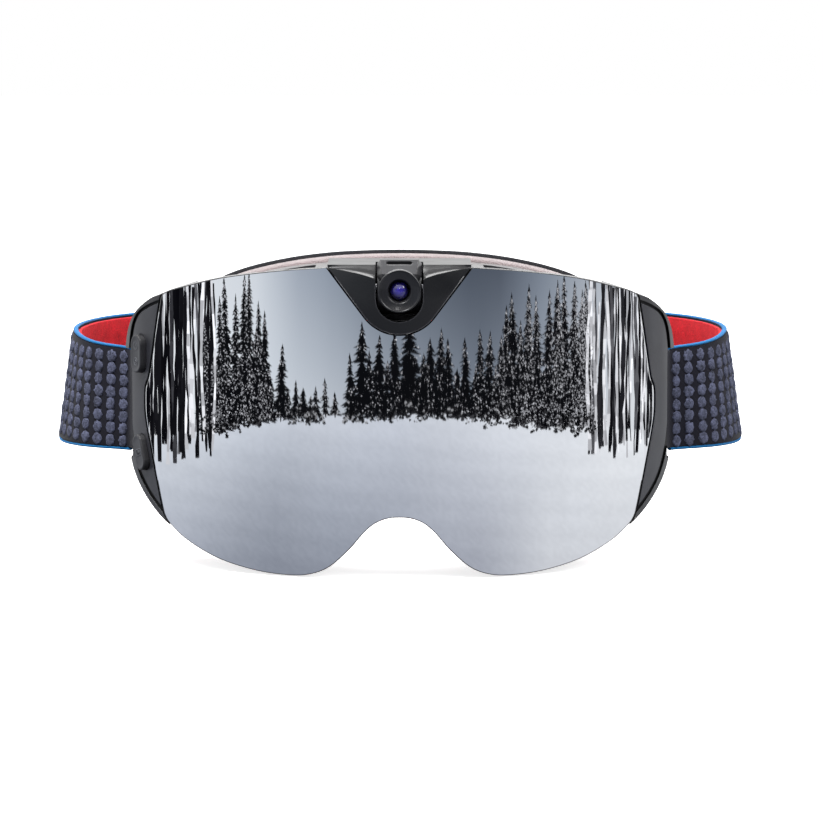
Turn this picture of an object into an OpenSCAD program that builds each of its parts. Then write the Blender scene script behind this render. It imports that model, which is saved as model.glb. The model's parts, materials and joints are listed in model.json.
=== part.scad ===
// Ski goggles with a built-in action camera.
// Frame: origin at the middle of the face seal's rear surface, +X to the wearer's left,
// -Y out through the lens, +Z up. Millimetres.

/* [Lens] */
// Radius of the mirror lens's outer surface, a cylinder about a vertical axis
lens_r = 100; // [98:1:103]
// Thickness of the mirror lens
lens_t = 1.6; // [1.2:0.1:1.7]
// Distance from the face seal to the front of the lens
lens_front = 48; // [47:0.5:50]

/* [Face seal] */
// Radius of the face seal's rear surface
face_r = 92; // [90:1:95]
// Thickness of the fleece that touches the face
fleece_t = 1.2; // [0.8:0.1:1.6]
// Thickness of the foam
foam_t = 11.8; // [11:0.1:12.5]
// Thickness of the soft ring that holds the foam
carrier_t = 2.8; // [2.2:0.1:3]

/* [Strap] */
// Full width of the strap, with its bound edges
strap_w = 39; // [37:0.5:40]
// Width of the strap where it turns round the lug's bar
strap_end_w = 35; // [33:0.5:35.5]
// Thickness of the elastic band
band_t = 1.5; // [1.2:0.1:1.6]
// Thickness of the plush lining
lining_t = 1.2; // [0.9:0.1:1.3]

/* [Camera] */
// Height of the tilt axis
tilt_z = 34.7; // [34.5:0.1:35]
// Radius of the camera head's front bezel
bezel_r = 6.8; // [6.5:0.1:6.9]
// Radius of the drum that the head turns on
drum_r = 8.2; // [7.8:0.1:8.3]
// Radius of the tilt pins
pin_r = 1.25; // [1:0.05:1.4]

/* [Buttons] */
// Travel of each button
press = 0.8; // [0.5:0.1:0.9]
// Height of each button above the pod cover
proud = 2.2; // [1.8:0.1:2.4]

/* [Hidden] */
$fn = 96;

// Cylinders about a vertical axis that the layers follow
lens_axis_y = lens_r - lens_front;
seat_r = lens_r - 2.4;          // the frame's seat for the lens
band_back_r = seat_r - 5.6;     // rear of the frame's front band
backing_t = 0.7;                // black rim printed and bonded behind the lens
rim_r = lens_r - 0.2;           // front of the rim that borders the pods
cover_r = lens_r - 0.6;         // front of the pod covers
cover_t = 1.6;
face_axis_y = face_r;
foam_front_r = face_r + fleece_t + foam_t;
frame_back_r = face_r + 16;
deep = 200;                     // longer than the whole part

// Right half outlines in front view, from the top middle clockwise to the bottom middle
lens_half = [[0, 42.3], [12, 42.1], [23, 41.4], [39, 40], [57, 37.1], [70.5, 33.2], [75.2, 31.5],
    [77.3, 29.9], [78.1, 26.8], [80, 14.8], [81.4, 5.6], [82, 2.2], [83.1, -1], [83.3, -5.8], [83.1, -10.4],
    [82.2, -16], [80.8, -23], [79.2, -31], [77.7, -38.2], [76.6, -42.2], [74.2, -45.3],
    [68.2, -49.7], [58.2, -54.2], [46, -57], [35.5, -57.8], [28.6, -57.2], [22.4, -54.6],
    [16, -48.8], [11.6, -43.7], [8, -40.5], [4, -38.8], [0, -38.4]];
frame_half = [[0, 41.9], [12, 41.7], [23, 41], [39, 39.6], [57, 36.7], [71, 32.6], [77.2, 30.3],
    [82, 28.2], [86.3, 25.2], [88.7, 21.6], [90.1, 16.5], [90.9, 8], [91, -2], [90.7, -12],
    [89.8, -20.5], [88, -28], [85.6, -33.4], [81.8, -38.8], [76.6, -43.9], [68.4, -49.1],
    [58, -53.6], [46, -56.4], [35.5, -57.2], [28.8, -56.6], [22.8, -54.1], [16.4, -48.4],
    [12, -43.4], [8.2, -40.1], [4, -38.4], [0, -38]];
rear_half = [[0, 41.6], [16.5, 41.2], [30, 40.1], [43, 37.6], [56, 33.2], [65, 28.2], [73, 20.5],
    [78, 11], [80, 0], [79.4, -12], [76, -24], [70.5, -34.5], [63, -43], [54, -49], [44, -52.4],
    [34.5, -52.6], [26.5, -50], [20, -45], [14.5, -39.4], [9, -36], [0, -34.6]];
foam_half = [[0, 43], [12, 42.7], [23, 41.9], [36, 39.9], [49.5, 36.4], [60, 31.8], [68, 25],
    [72.6, 15], [74, 3], [73.4, -10], [70.6, -22], [65.5, -32.5], [58.5, -40.5], [50, -46.5],
    [41, -49.6], [33, -49.4], [25.5, -46], [19.5, -40.5], [14, -35.2], [8, -32.2], [0, -31]];
eye_half = [[0, 15.6], [8, 15.8], [13, 18.6], [17.5, 25], [24, 30.6], [32, 31.8], [44, 30.4],
    [56, 26.6], [65, 19.4], [69.6, 9], [70.8, -4], [69.2, -18], [65, -30], [57, -40], [46, -45.6],
    [36, -46], [28, -42.6], [21.5, -36], [15.5, -30.4], [8, -27.4], [0, -26.6]];
foam_ring_w = 11;
vee_r = 13.6;                   // round bottom of the V that the cowl fills
vee_z = 34.1;
vee_corner = [23.2, 42.2];
lens_gap = 0.4;                 // between the lens's edge and its neighbours

// Camera
tilt_y = -43;
head_half_w = 7.1;
window_half_w = 7.6;
window_z = 31.9;                // centre of the window's round lower end
bezel_y = -57;
cowl_front = -52.2;
cowl_sphere_r = 51.8;
cowl_top = 42.4;
cowl_plate_t = 1.5;
housing_half_w = 10.2;

// Pods
pod_seal_w = 1;
rim_w = 1.5;
pod_x = 73;                     // inner side of each pod's pocket
pod_block_x = 66;               // the frame is solid outside this, round the pods
pod_back_y = 10;
rim_back_y = 12;
button_angle = 58.6;            // direction of the pod's surface, from -Y
power_z = 9.8;
shutter_z = -22.6;
shutter_angle = 57.8;
shutter_tilt = 20;
pill_r = 3.4;
pill_l = 12.6;
oval_r = 2.9;
oval_l = 12;
neck_r = 1.6;
neck_l = 8.4;
notch_x = 88.1;                 // the rim is cut away outside this, where the strap passes
notch_z = [-25.2, 10.8];
port_at = [79.2, -41.45];      // middle of the port opening on the rim, as x and z
port_turn = 135;                // turns local +Z to the rim's outward normal there
port_y = 3.4;

// Magnets, on the frame's front band
magnets = [[36, 35.9], [70, 27], [68, -43.5], [38, -52.2]];
magnet_r = 2.5;
magnet_t = 1.8;

// Strap
bar_at = [85.2, 17];
bar_r = 1.9;
turn_r = 2.9;                   // middle of the band as it turns round the bar
strap_z = -6;
end_z = -7.2;
strap_lean = 2.9;               // how far the top edge leans in at the widest place
binding_h = 1.2;
back_y = 138.5;                 // the straight stretch at the back
strap_tail = [[94.3, 27.6], [91.4, 25.2], [88, 22.6], [85, 21], [82.9, 19.4]];
strap_side = [[89.5, 20.6], [93.2, 24.2], [98.8, 28.4], [104.2, 34], [108.8, 42], [112, 52.5],
    [113.3, 66], [112.4, 81], [108.6, 96.5], [101.2, 111.5], [89.5, 124.6], [75, 134.2],
    [60, back_y], [45, back_y], [30, back_y], [15, back_y], [0, back_y]];
slider_x = 34;
slider_half_w = 7;

// ---------- curves ----------

function mirrored(half) =
    concat(half, [for (i = [len(half) - 2 : -1 : 1]) [-half[i][0], half[i][1]]]);

function spline(a, b, c, d, t) =
    0.5 * (2 * b + (c - a) * t + (2 * a - 5 * b + 4 * c - d) * t * t
        + (3 * b - 3 * c + d - a) * t * t * t);

function closed_curve(p, n) = let (m = len(p))
    [for (i = [0 : m - 1], k = [0 : n - 1])
        spline(p[(i + m - 1) % m], p[i], p[(i + 1) % m], p[(i + 2) % m], k / n)];

function open_curve(p, n) = let (m = len(p) - 1)
    [for (i = [0 : m - 1], k = [0 : n - 1])
        spline(p[max(i - 1, 0)], p[i], p[i + 1], p[min(i + 2, m)], k / n), p[m]];

// Moves each point of a clockwise outline inwards by d
function inset(p, d) = let (m = len(p))
    [for (i = [0 : m - 1])
        let (t = p[(i + 1) % m] - p[(i + m - 1) % m], u = t / norm(t)) p[i] + d * [u[1], -u[0]]];

function outline(half, n = 3) = closed_curve(mirrored(half), n);

LENS = outline(lens_half);
FRAME = outline(frame_half);
REAR = outline(rear_half, 2);
FOAM = outline(foam_half, 2);
EYE = outline(eye_half, 2);

// ---------- building blocks ----------

// Extrudes a front-view shape right through the part, along Y
module along_y() translate([0, deep / 2, 0]) rotate([90, 0, 0]) linear_extrude(deep) children();

module prism(points) along_y() polygon(points);

module lens_cylinder(r) translate([0, lens_axis_y, -deep / 2]) cylinder(r = r, h = deep);

module face_cylinder(r) translate([0, face_axis_y, -deep / 2]) cylinder(r = r, h = deep);

module lens_layer(outer, inner) difference() {
    intersection() {
        lens_cylinder(outer);
        translate([-deep / 2, -deep, -deep / 2]) cube([deep, deep + 40, deep]);
    }
    lens_cylinder(inner);
}

module face_layer(outer, inner) difference() {
    intersection() {
        face_cylinder(outer);
        translate([-deep / 2, -deep, -deep / 2]) cube([deep, deep + face_axis_y - 30, deep]);
    }
    face_cylinder(inner);
}

module ring(outer, inner) along_y() difference() {
    polygon(outer);
    polygon(inner);
}

module block(lo, hi) translate(lo) cube(hi - lo);

module both_sides() for (s = [0, 1]) mirror([s, 0, 0]) children();

// Places children on the lens cylinder: local -Y points out, local Z stays up
module on_front(angle, r) translate([0, lens_axis_y, 0]) rotate([0, 0, angle])
    translate([0, -r, 0]) children();

module disc_y(r, y0, y1) translate([0, y1, 0]) rotate([90, 0, 0]) cylinder(r = r, h = y1 - y0);

module disc_x(r, x0, x1) translate([x0, 0, 0]) rotate([0, 90, 0]) cylinder(r = r, h = x1 - x0);

// Upright stadium, from y0 to y1
module stadium(r, l, y0, y1) {
    for (s = [-1, 1]) translate([0, 0, s * (l / 2 - r)]) disc_y(r, y0, y1);
    block([-r, y0, r - l / 2], [r, y1, l / 2 - r]);
}

module vee(grow) polygon(concat(
    [[-vee_corner[0] - grow * 1.3, vee_corner[1] + 10 * min(grow, 1) + 0.01],
        [vee_corner[0] + grow * 1.3, vee_corner[1] + 10 * min(grow, 1) + 0.01],
        [vee_corner[0] + grow * 1.3, vee_corner[1]]],
    [for (a = [-38 : -8 : -142]) [0, vee_z] + (vee_r + grow) * [cos(a), sin(a)]],
    [[-vee_corner[0] - grow * 1.3, vee_corner[1]]]));

// Sweeps a rectangle along path: each ring runs from a to b across the path and from lo to hi in height
function sweep_points(path, a, b, lo, hi) = let (m = len(path) - 1)
    [for (i = [0 : m])
        let (t = path[min(i + 1, m)] - path[max(i - 1, 0)], u = t / norm(t), n = [u[1], -u[0]],
            out = strap_lean_at(path[i]),
            za = strap_low(path[i]), zb = strap_high(path[i]))
            for (c = [[a, lo], [b, lo], [b, hi], [a, hi]])
                let (z = za + (zb - za) * c[1][0] + c[1][1], f = (z - strap_z) / strap_w,
                    q = path[i] + n * (c[0] - out * f)) [q[0], q[1], z]];

// Two triangles for side k between rings g and g + 4, with the diagonal always rising along the path
function side_triangle(g, k, f) = let (j = (k + 1) % 4, a = g + k, b = g + 4 + k, c = g + 4 + j, d = g + j)
    k < 2 ? (f == 0 ? [a, b, c] : [a, c, d]) : (f == 0 ? [a, b, d] : [b, c, d]);

module sweep(path, a, b, lo, hi) {
    m = len(path) - 1;
    polyhedron(points = sweep_points(path, a, b, lo, hi), faces = concat(
        [[0, 1, 2, 3]],
        [for (i = [0 : m - 1], k = [0 : 3], f = [0, 1]) side_triangle(4 * i, k, f)],
        [[4 * m + 3, 4 * m + 2, 4 * m + 1, 4 * m]]), convexity = 6);
}

// ---------- goggle frame ----------

module frame() color([0.20, 0.20, 0.215]) difference() {
    union() {
        frame_front();
        frame_wall();
        frame_flange();
    }
    camera_opening();
    ribbon_slots();
    both_sides() strap_notch();
    both_sides() pod_pocket();
    vent_slots();
    magnet_pockets(seat_r - magnet_t - 0.15, seat_r + 0.1, magnet_r + 0.05);
    port_cut();
    lug_screw_holes();
}

// Front band with the lens seat, and the deeper blocks at the sides that hold the pods
module frame_front() difference() {
    intersection() {
        ring(FRAME, EYE);
        lens_cylinder(rim_r);
        falling_top();
    }
    intersection() {
        lens_cylinder(band_back_r);
        block([-pod_block_x, -deep, -deep / 2], [pod_block_x, deep, deep / 2]);
    }
    intersection() {
        prism(inset(EYE, -3));
        lens_cylinder(band_back_r);
    }
    intersection() {
        prism(inset(REAR, -0.3));
        face_cylinder(frame_back_r);
    }
    intersection() {
        prism(inset(LENS, -lens_gap));
        lens_layer(lens_r + 5, seat_r);
    }
    block([-deep, rim_back_y, -deep], [deep, deep, deep]);
}

// The pods' tops fall away to the rear
module falling_top() translate([0, -6, 30]) rotate([-8, 0, 0]) translate([0, 0, -30]) along_y() union() {
    polygon(FRAME);
    translate([-92, -100]) square([184, 100]);
}

module frame_wall() difference() {
    intersection() {
        ring(REAR, inset(REAR, 2.6));
        lens_cylinder(band_back_r + 1);
    }
    face_cylinder(frame_back_r);
    block([-deep, face_axis_y - 40, -deep], [deep, deep, deep]);
}

module frame_flange() intersection() {
    ring(REAR, inset(REAR, 9));
    face_layer(frame_back_r + 2.2, frame_back_r);
}

module camera_opening() {
    block([-housing_half_w - 0.2, -60, 20.3], [housing_half_w + 0.2, -26.8, 60]);
    intersection() {
        along_y() vee(0.4);
        block([-30, -60, cowl_top - cowl_plate_t - 0.1], [30, -17.4, 60]);
    }
    housing_screw_places() disc_y(0.85, -50, -41.2);
}

module pod_recess_shape() difference() {
    polygon(inset(FRAME, rim_w));
    polygon(inset(LENS, -lens_gap));
    translate([-76.3, -deep]) square([152.6, 2 * deep]);
}

module pod_pocket() {
    intersection() {
        along_y() pod_recess_shape();
        lens_layer(lens_r + 5, cover_r - cover_t - 0.1);
        block([0, -deep, -deep], [deep, deep, deep]);
    }
    intersection() {
        prism(inset(FRAME, 4.8));
        lens_cylinder(cover_r - cover_t - 0.05);
        block([pod_x, -deep, -36], [deep, pod_back_y, 24]);
    }
}

module strap_notch() block([notch_x, -deep, notch_z[0]], [deep, deep, notch_z[1]]);

module vent_slots() both_sides() {
    block([27, -34.5, 33], [46, -20, 60]);
    block([28, -33, -70], [48, -19, -46]);
}

module ribbon_slots() both_sides() intersection() {
    lens_layer(band_back_r - 1.8, band_back_r - 2.7);
    block([64, -deep, 6], [74, deep, 27]);
}

module magnet_pockets(r0, r1, r) for (s = [-1, 1], m = magnets)
    on_front(s * asin(m[0] / seat_r), 0) translate([0, 0, m[1]]) disc_y(r, -r1, -r0);

module at_port() translate([port_at[0], port_y, port_at[1]]) rotate([0, port_turn, 0]) children();

module port_cut() at_port() {
    block([-6.8, -4.8, -1.9], [6.8, 5.1, 4]);
    block([-6.1, -3.8, -8.6], [6.1, 3.8, 1]);
}

module lug_screw_places() for (p = [[83.4, -29.7], [84, 15.2]]) translate([p[0], 0, p[1]]) children();

module lug_screw_holes() both_sides() lug_screw_places() disc_y(0.85, 9, rim_back_y + 1);

// ---------- face seal ----------

module foam_carrier() color([0.07, 0.07, 0.08]) intersection() {
    ring(inset(REAR, 0.2), inset(REAR, 12));
    face_layer(frame_back_r - 0.05, frame_back_r - 0.05 - carrier_t);
}

module face_foam() color([0.66, 0.60, 0.58]) intersection() {
    ring(FOAM, inset(FOAM, foam_ring_w));
    face_layer(foam_front_r, face_r + fleece_t);
}

module face_fleece() color([0.09, 0.09, 0.10]) intersection() {
    ring(inset(FOAM, -0.7), inset(FOAM, foam_ring_w - 0.5));
    face_layer(face_r + fleece_t - 0.05, face_r);
}

// ---------- inner lens and vents ----------

module inner_lens() color([0.80, 0.84, 0.86, 0.4]) intersection() {
    prism(inset(EYE, -2.6));
    lens_layer(band_back_r - 0.5, band_back_r - 1.5);
}

module inner_lens_gasket() color([0.12, 0.12, 0.13]) intersection() {
    ring(inset(EYE, -2.6), inset(EYE, -0.2));
    lens_layer(band_back_r - 0.03, band_back_r - 0.47);
}

module vent_foam_strip(lo, hi) intersection() {
    ring(inset(REAR, 2.65), inset(REAR, 5.4));
    lens_cylinder(band_back_r - 3);
    block(lo, hi);
}

module top_vent_foam() color([0.10, 0.10, 0.11]) both_sides()
    vent_foam_strip([26, -34, 20], [47, -19, 60]);

module bottom_vent_foam() color([0.10, 0.10, 0.11]) both_sides()
    vent_foam_strip([27, -31.5, -70], [49, -18, -40]);

module frame_magnets() color([0.72, 0.73, 0.75])
    magnet_pockets(seat_r - magnet_t - 0.1, seat_r - 0.1, magnet_r);

// ---------- mirror lens, held on by magnets ----------

module mirror_lens() color([0.80, 0.82, 0.85]) difference() {
    intersection() {
        prism(LENS);
        lens_layer(lens_r, lens_r - lens_t);
    }
    along_y() vee(lens_gap);
}

module lens_backing_rim() color([0.03, 0.03, 0.035]) difference() {
    intersection() {
        ring(inset(LENS, 0.5), inset(EYE, -1));
        lens_layer(lens_r - lens_t - 0.02, lens_r - lens_t - backing_t);
    }
    along_y() vee(lens_gap);
    magnet_pockets(lens_r - 5, lens_r + 1, magnet_r + 0.05);
    block([-14, -80, 0], [14, 0, 60]);
}

module lens_magnets() color([0.72, 0.73, 0.75])
    magnet_pockets(lens_r - lens_t - backing_t, lens_r - lens_t - 0.15, magnet_r);

// ---------- camera cowl and housing ----------

module window_shape(grow) {
    translate([0, window_z]) circle(r = window_half_w + grow);
    translate([-window_half_w - grow, window_z]) square([2 * (window_half_w + grow), 30]);
}

module cowl_dome(less) translate([0, cowl_front + cowl_sphere_r, vee_z])
    sphere(r = cowl_sphere_r - less, $fn = 200);

module camera_cowl() color([0.145, 0.145, 0.155]) difference() {
    union() {
        difference() {
            intersection() {
                along_y() vee(0);
                cowl_dome(0);
            }
            lens_cylinder(seat_r + 0.1);
            intersection() {
                along_y() offset_vee(2);
                cowl_dome(1.9);
                block([-deep, -deep, -deep], [deep, 0, cowl_top - cowl_plate_t]);
            }
        }
        top_plate();
    }
    intersection() {
        along_y() window_shape(0);
        block([-20, -70, 0], [20, tilt_y + drum_r + 1, 60]);
    }
}

module offset_vee(in) polygon(concat(
    [[vee_corner[0] - 1.5 * in, vee_corner[1]]],
    [for (a = [-38 : -8 : -142]) [0, vee_z] + (vee_r - in) * [cos(a), sin(a)]],
    [[-vee_corner[0] + 1.5 * in, vee_corner[1]]]));

module top_plate() intersection() {
    along_y() vee(0);
    block([-25, -46.6, cowl_top - cowl_plate_t], [25, -17.6, cowl_top]);
}

module housing_screw_places() for (s = [-1, 1]) translate([s * 12.6, 0, 37.6]) children();

module housing_screws() color([0.5, 0.5, 0.52]) housing_screw_places() union() {
    disc_y(1.5, -47.5, -46.7);
    disc_y(0.8, -46.7, -41.4);
}

module camera_housing() color([0.05, 0.05, 0.055]) difference() {
    union() {
        intersection() {
            block([-housing_half_w, -46.2, 20.6], [housing_half_w, -27, cowl_top - cowl_plate_t - 0.1]);
            lens_cylinder(seat_r - 0.1);
        }
        block([-14.5, -46.7, 35.4], [14.5, -45.15, 39.6]);
    }
    block([-window_half_w - 0.1, -60, 22.2], [window_half_w + 0.1, tilt_y + drum_r + 1, 60]);
    block([-window_half_w - 0.1, -40, 22.2], [window_half_w + 0.1, -28.4, 39]);
    block([-8.4, -28.6, 23], [8.4, -20, 38.5]);
    translate([0, tilt_y, tilt_z]) disc_x(pin_r + 0.05, -20, 20);
    housing_screw_places() disc_y(0.85, -60, -40);
}

module camera_housing_cap() color([0.06, 0.06, 0.065]) difference() {
    block([-8.3, -28.3, 23.1], [8.3, -26.2, 38.4]);
    translate([0, 0, 26.5]) disc_y(1.05, -30, -25);
}

module status_light() color([0.25, 0.75, 0.35]) translate([0, 0, 26.5]) disc_y(1, -28.3, -26);

// ---------- camera head, turning about the tilt axis ----------

module camera_head_shell() color([0.17, 0.17, 0.18]) difference() {
    union() {
        translate([0, tilt_y, tilt_z]) disc_x(drum_r, -head_half_w, head_half_w);
        translate([0, 0, tilt_z]) disc_y(bezel_r - 0.25, bezel_y + 1.4, tilt_y);
        thumb_tab();
    }
    translate([0, 0, tilt_z]) disc_y(4.95, bezel_y - 1, tilt_y + 1);
    translate([0, tilt_y, tilt_z]) disc_x(pin_r - 0.15, -20, 20);
    block([-5.4, tilt_y - 0.5, tilt_z - 5.4], [5.4, tilt_y + 3.6, tilt_z + 5.2]);
    translate([0, -48.6, 43.5]) rotate([38, 0, 0]) translate([0, 0, -1.3]) slot_cut();
}

// Raised tab on top, with a grip slot across it
module thumb_tab() translate([-6.4, 0, 0]) rotate([90, 0, 90]) linear_extrude(12.8)
    polygon([[-53.6, tilt_z + 4.6], [-53.2, tilt_z + 6.2], [-50.4, tilt_z + 8.3],
        [-46.5, tilt_z + 9.4], [-42, tilt_z + 9.3], [-40.5, tilt_z + 6]]);

module slot_cut() {
    block([-3.5, -0.8, 0], [3.5, 0.8, 5]);
    for (s = [-1, 1]) translate([s * 3.5, 0, 0]) cylinder(r = 0.8, h = 5);
}

module camera_bezel() color([0.16, 0.165, 0.17]) translate([0, 0, tilt_z]) difference() {
    disc_y(bezel_r, bezel_y, bezel_y + 1.35);
    disc_y(3.75, bezel_y - 1, bezel_y + 3);
}

module lens_tube() color([0.03, 0.03, 0.03]) translate([0, 0, tilt_z]) difference() {
    disc_y(4.85, bezel_y + 1.4, tilt_y - 1);
    disc_y(3.3, bezel_y - 1, tilt_y + 1);
}

module front_lens_element() color([0.10, 0.08, 0.45, 0.6]) translate([0, bezel_y, tilt_z])
    intersection() {
        translate([0, 7.6, 0]) sphere(r = 6.6, $fn = 120);
        disc_y(3.2, 0.5, 3.4);
    }

module rear_lens_element() color([0.12, 0.10, 0.40, 0.6]) translate([0, bezel_y, tilt_z])
    disc_y(3.2, 6.5, 8.2);

module sensor_board() color([0.06, 0.22, 0.12]) translate([0, tilt_y, tilt_z]) {
    block([-4.8, 0.4, -4.8], [4.8, 1.4, 4.8]);
    block([-2.6, -0.4, -2.6], [2.6, 0.4, 2.6]);
}

module tilt_pins() color([0.6, 0.6, 0.62]) translate([0, tilt_y, tilt_z]) both_sides()
    union() {
        disc_x(pin_r, head_half_w + 0.02, housing_half_w - 0.1);
        disc_x(pin_r - 0.2, 5.5, head_half_w + 0.02);
    }

// ---------- ribbons ----------

module ribbon() intersection() {
    ring(inset(REAR, 3), inset(REAR, 5.4));
    lens_layer(band_back_r - 2.1, band_back_r - 2.4);
    block([housing_half_w + 0.3, -deep, 0], [73.5, deep, 60]);
}

module camera_flex_cable() color([0.55, 0.36, 0.10]) mirror([1, 0, 0]) ribbon();

module power_flex_cable() color([0.55, 0.36, 0.10]) ribbon();

// ---------- pods ----------

module pod_cover_shape() difference() {
    polygon(inset(FRAME, rim_w + pod_seal_w));
    polygon(inset(LENS, -lens_gap - 0.1));
    translate([-76.5, -deep]) square([153, 2 * deep]);
}

module pod_cover_blank() intersection() {
    along_y() pod_cover_shape();
    lens_layer(cover_r, cover_r - cover_t);
    difference() {
        block([0, -deep, -deep], [deep, deep, deep]);
        strap_notch();
    }
}

module pod_cover_right() color([0.27, 0.27, 0.30]) pod_cover_blank();

module pod_cover_left() color([0.27, 0.27, 0.30]) difference() {
    mirror([1, 0, 0]) pod_cover_blank();
    on_power() stadium(pill_r + 0.15, pill_l + 0.3, -5, 5);
    on_shutter() stadium(oval_r + 0.15, oval_l + 0.3, -5, 1);
    on_shutter() stadium(neck_r + 0.15, neck_l + 0.3, -5, 5);
}

module pod_seal() intersection() {
    along_y() difference() {
        polygon(inset(FRAME, rim_w + 0.03));
        polygon(inset(FRAME, rim_w + pod_seal_w - 0.03));
        polygon(inset(LENS, -lens_gap));
        translate([-76.5, -deep]) square([153, 2 * deep]);
    }
    lens_layer(cover_r - 0.5, cover_r - cover_t);
    difference() {
        block([0, -deep, -deep], [deep, deep, deep]);
        strap_notch();
    }
}

module pod_seal_right() color([0.02, 0.02, 0.02]) pod_seal();

module pod_seal_left() color([0.02, 0.02, 0.02]) mirror([1, 0, 0]) pod_seal();

module on_power() on_front(-button_angle, cover_r) translate([0, 0, power_z]) children();

module on_shutter() on_front(-shutter_angle, cover_r) translate([0, 0, shutter_z])
    rotate([0, -shutter_tilt, 0]) children();

flange_y = cover_t + 0.4;
flange_t = 0.8;
switch_y = flange_y + flange_t + press + 0.05;

module power_button() color([0.19, 0.19, 0.20]) on_power() {
    stadium(pill_r, pill_l, -proud, flange_y + 0.01);
    stadium(pill_r + 0.5, pill_l + 1, flange_y, flange_y + flange_t);
}

module shutter_button() color([0.19, 0.19, 0.20]) on_shutter() {
    stadium(oval_r, oval_l, -proud, 0.1);
    stadium(neck_r, neck_l, 0.09, flange_y + 0.01);
    stadium(neck_r + 0.6, neck_l + 1.2, flange_y, flange_y + flange_t);
}

module tact_switches() color([0.75, 0.75, 0.77]) {
    on_power() block([-1.6, switch_y, -1.6], [1.6, 5.5, 1.6]);
    on_shutter() block([-1.6, switch_y, -1.6], [1.6, 5.2, 1.6]);
}

module control_board() color([0.06, 0.24, 0.13]) on_front(-button_angle, cover_r)
    block([-5, 5.55, -26], [4.2, 6.55, 19]);

module microphone() color([0.7, 0.66, 0.5]) on_front(-button_angle, cover_r)
    translate([0, 0, -6]) disc_y(2, 4.2, 5.5);

module battery_pack() color([0.18, 0.30, 0.62]) on_front(button_angle, cover_r)
    block([-4.6, 2.7, -20], [4.4, 8.1, 18.6]);

module port_board() color([0.06, 0.24, 0.13]) at_port()
    block([-5.6, -0.45, -8.4], [5.6, 0.25, -2.4]);

module usb_socket() color([0.72, 0.72, 0.74]) at_port() difference() {
    block([-4.3, -3.7, -8.3], [4.3, -0.5, -2.3]);
    block([-4, -3.4, -7.4], [4, -0.8, 0]);
}

module card_socket() color([0.6, 0.6, 0.62]) at_port() difference() {
    block([-6, 0.3, -8.4], [6, 2.5, -2.3]);
    block([-5.6, 0.75, -7.6], [5.6, 2, 0]);
}

module port_cover() color([0.08, 0.08, 0.085]) {
    intersection() {
        at_port() block([-6.6, -4.6, -1.75], [6.6, 4.9, 3]);
        prism(FRAME);
    }
    at_port() block([-4.4, -3.3, -2.15], [4.4, -2.5, -1.7]);
}

// ---------- strap ----------

module strap_lug() difference() {
    union() {
        intersection() {
            block([81, rim_back_y + 0.05, -31.9], [87.4, rim_back_y + 1.2, 17.4]);
            prism(inset(FRAME, 0.4));
        }
        for (z = [-27.2, 10.9]) block([82.4, rim_back_y + 1, z], [87.2, 19.4, z + 1.9]);
        translate([bar_at[0], bar_at[1], -26]) cylinder(r = bar_r, h = 37.5);
    }
    lug_screw_places() disc_y(0.85, 0, 14);
}

module strap_lug_right() color([0.10, 0.10, 0.11]) strap_lug();

module strap_lug_left() color([0.10, 0.10, 0.11]) mirror([1, 0, 0]) strap_lug();

module lug_screws() color([0.5, 0.5, 0.52]) both_sides() lug_screw_places() union() {
    disc_y(0.8, 10.1, rim_back_y + 1.25);
    disc_y(1.55, rim_back_y + 1.25, rim_back_y + 2.1);
}

// Height and lean of the strap at a point of its path
function strap_grown(p) = let (t = min(1, max(0, (p[1] - bar_at[1]) / 42))) t * t * (3 - 2 * t);
function strap_mid(p) = end_z + (strap_z - end_z) * strap_grown(p);
function strap_half(p) = (strap_end_w + (strap_w - strap_end_w) * strap_grown(p)) / 2 - binding_h;
function strap_low(p) = strap_mid(p) - strap_half(p);
function strap_high(p) = strap_mid(p) + strap_half(p);
function strap_lean_at(p) =
    2 * strap_lean * sin(180 * min(1, max(0, (p[1] - bar_at[1]) / (back_y - 4 - bar_at[1]))));

turn_path = [for (a = [180 : 30 : 360]) bar_at + turn_r * [cos(a), sin(a)]];
half_path = concat(strap_tail, turn_path, strap_side);
left_half = [for (i = [len(half_path) - 2 : -1 : 0]) [-half_path[i][0], half_path[i][1]]];
STRAP = open_curve(concat(half_path, left_half), 3);
side_at = 3 * (len(strap_tail) + len(turn_path));   // where the strap leaves the turn
BOUND = [for (i = [side_at : len(STRAP) - 1 - side_at]) STRAP[i]];
LINED = [for (i = [9 : len(BOUND) - 10]) BOUND[i]];

module strap_band() color([0.09, 0.10, 0.17])
    sweep(STRAP, -band_t / 2, band_t / 2, [0, 0], [1, 0]);

module strap_lining() color([0.75, 0.07, 0.08])
    sweep(LINED, -band_t / 2 - 0.15 - lining_t, -band_t / 2 - 0.15, [0, 0.3], [1, -0.3]);

module strap_binding() color([0.10, 0.50, 0.75]) {
    sweep(BOUND, -band_t / 2 - 0.1, band_t / 2 + 0.1, [1, 0.1], [1, binding_h]);
    sweep(BOUND, -band_t / 2 - 0.1, band_t / 2 + 0.1, [0, -binding_h], [0, -0.1]);
}

module strap_slider() translate([slider_x, back_y, strap_z]) difference() {
    block([-slider_half_w, -4.6, -23], [slider_half_w, 3.6, 23]);
    block([-20, -2.6, -strap_w / 2 - 0.6], [20, 1.9, strap_w / 2 + 0.6]);
    for (x = [-5.4, 1]) block([x, 0, -17.5], [x + 4.4, 9, 17.5]);
}

module strap_slider_right() color([0.08, 0.08, 0.09]) strap_slider();

module strap_slider_left() color([0.08, 0.08, 0.09]) mirror([1, 0, 0]) strap_slider();

// ---------- assembly ----------

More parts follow.
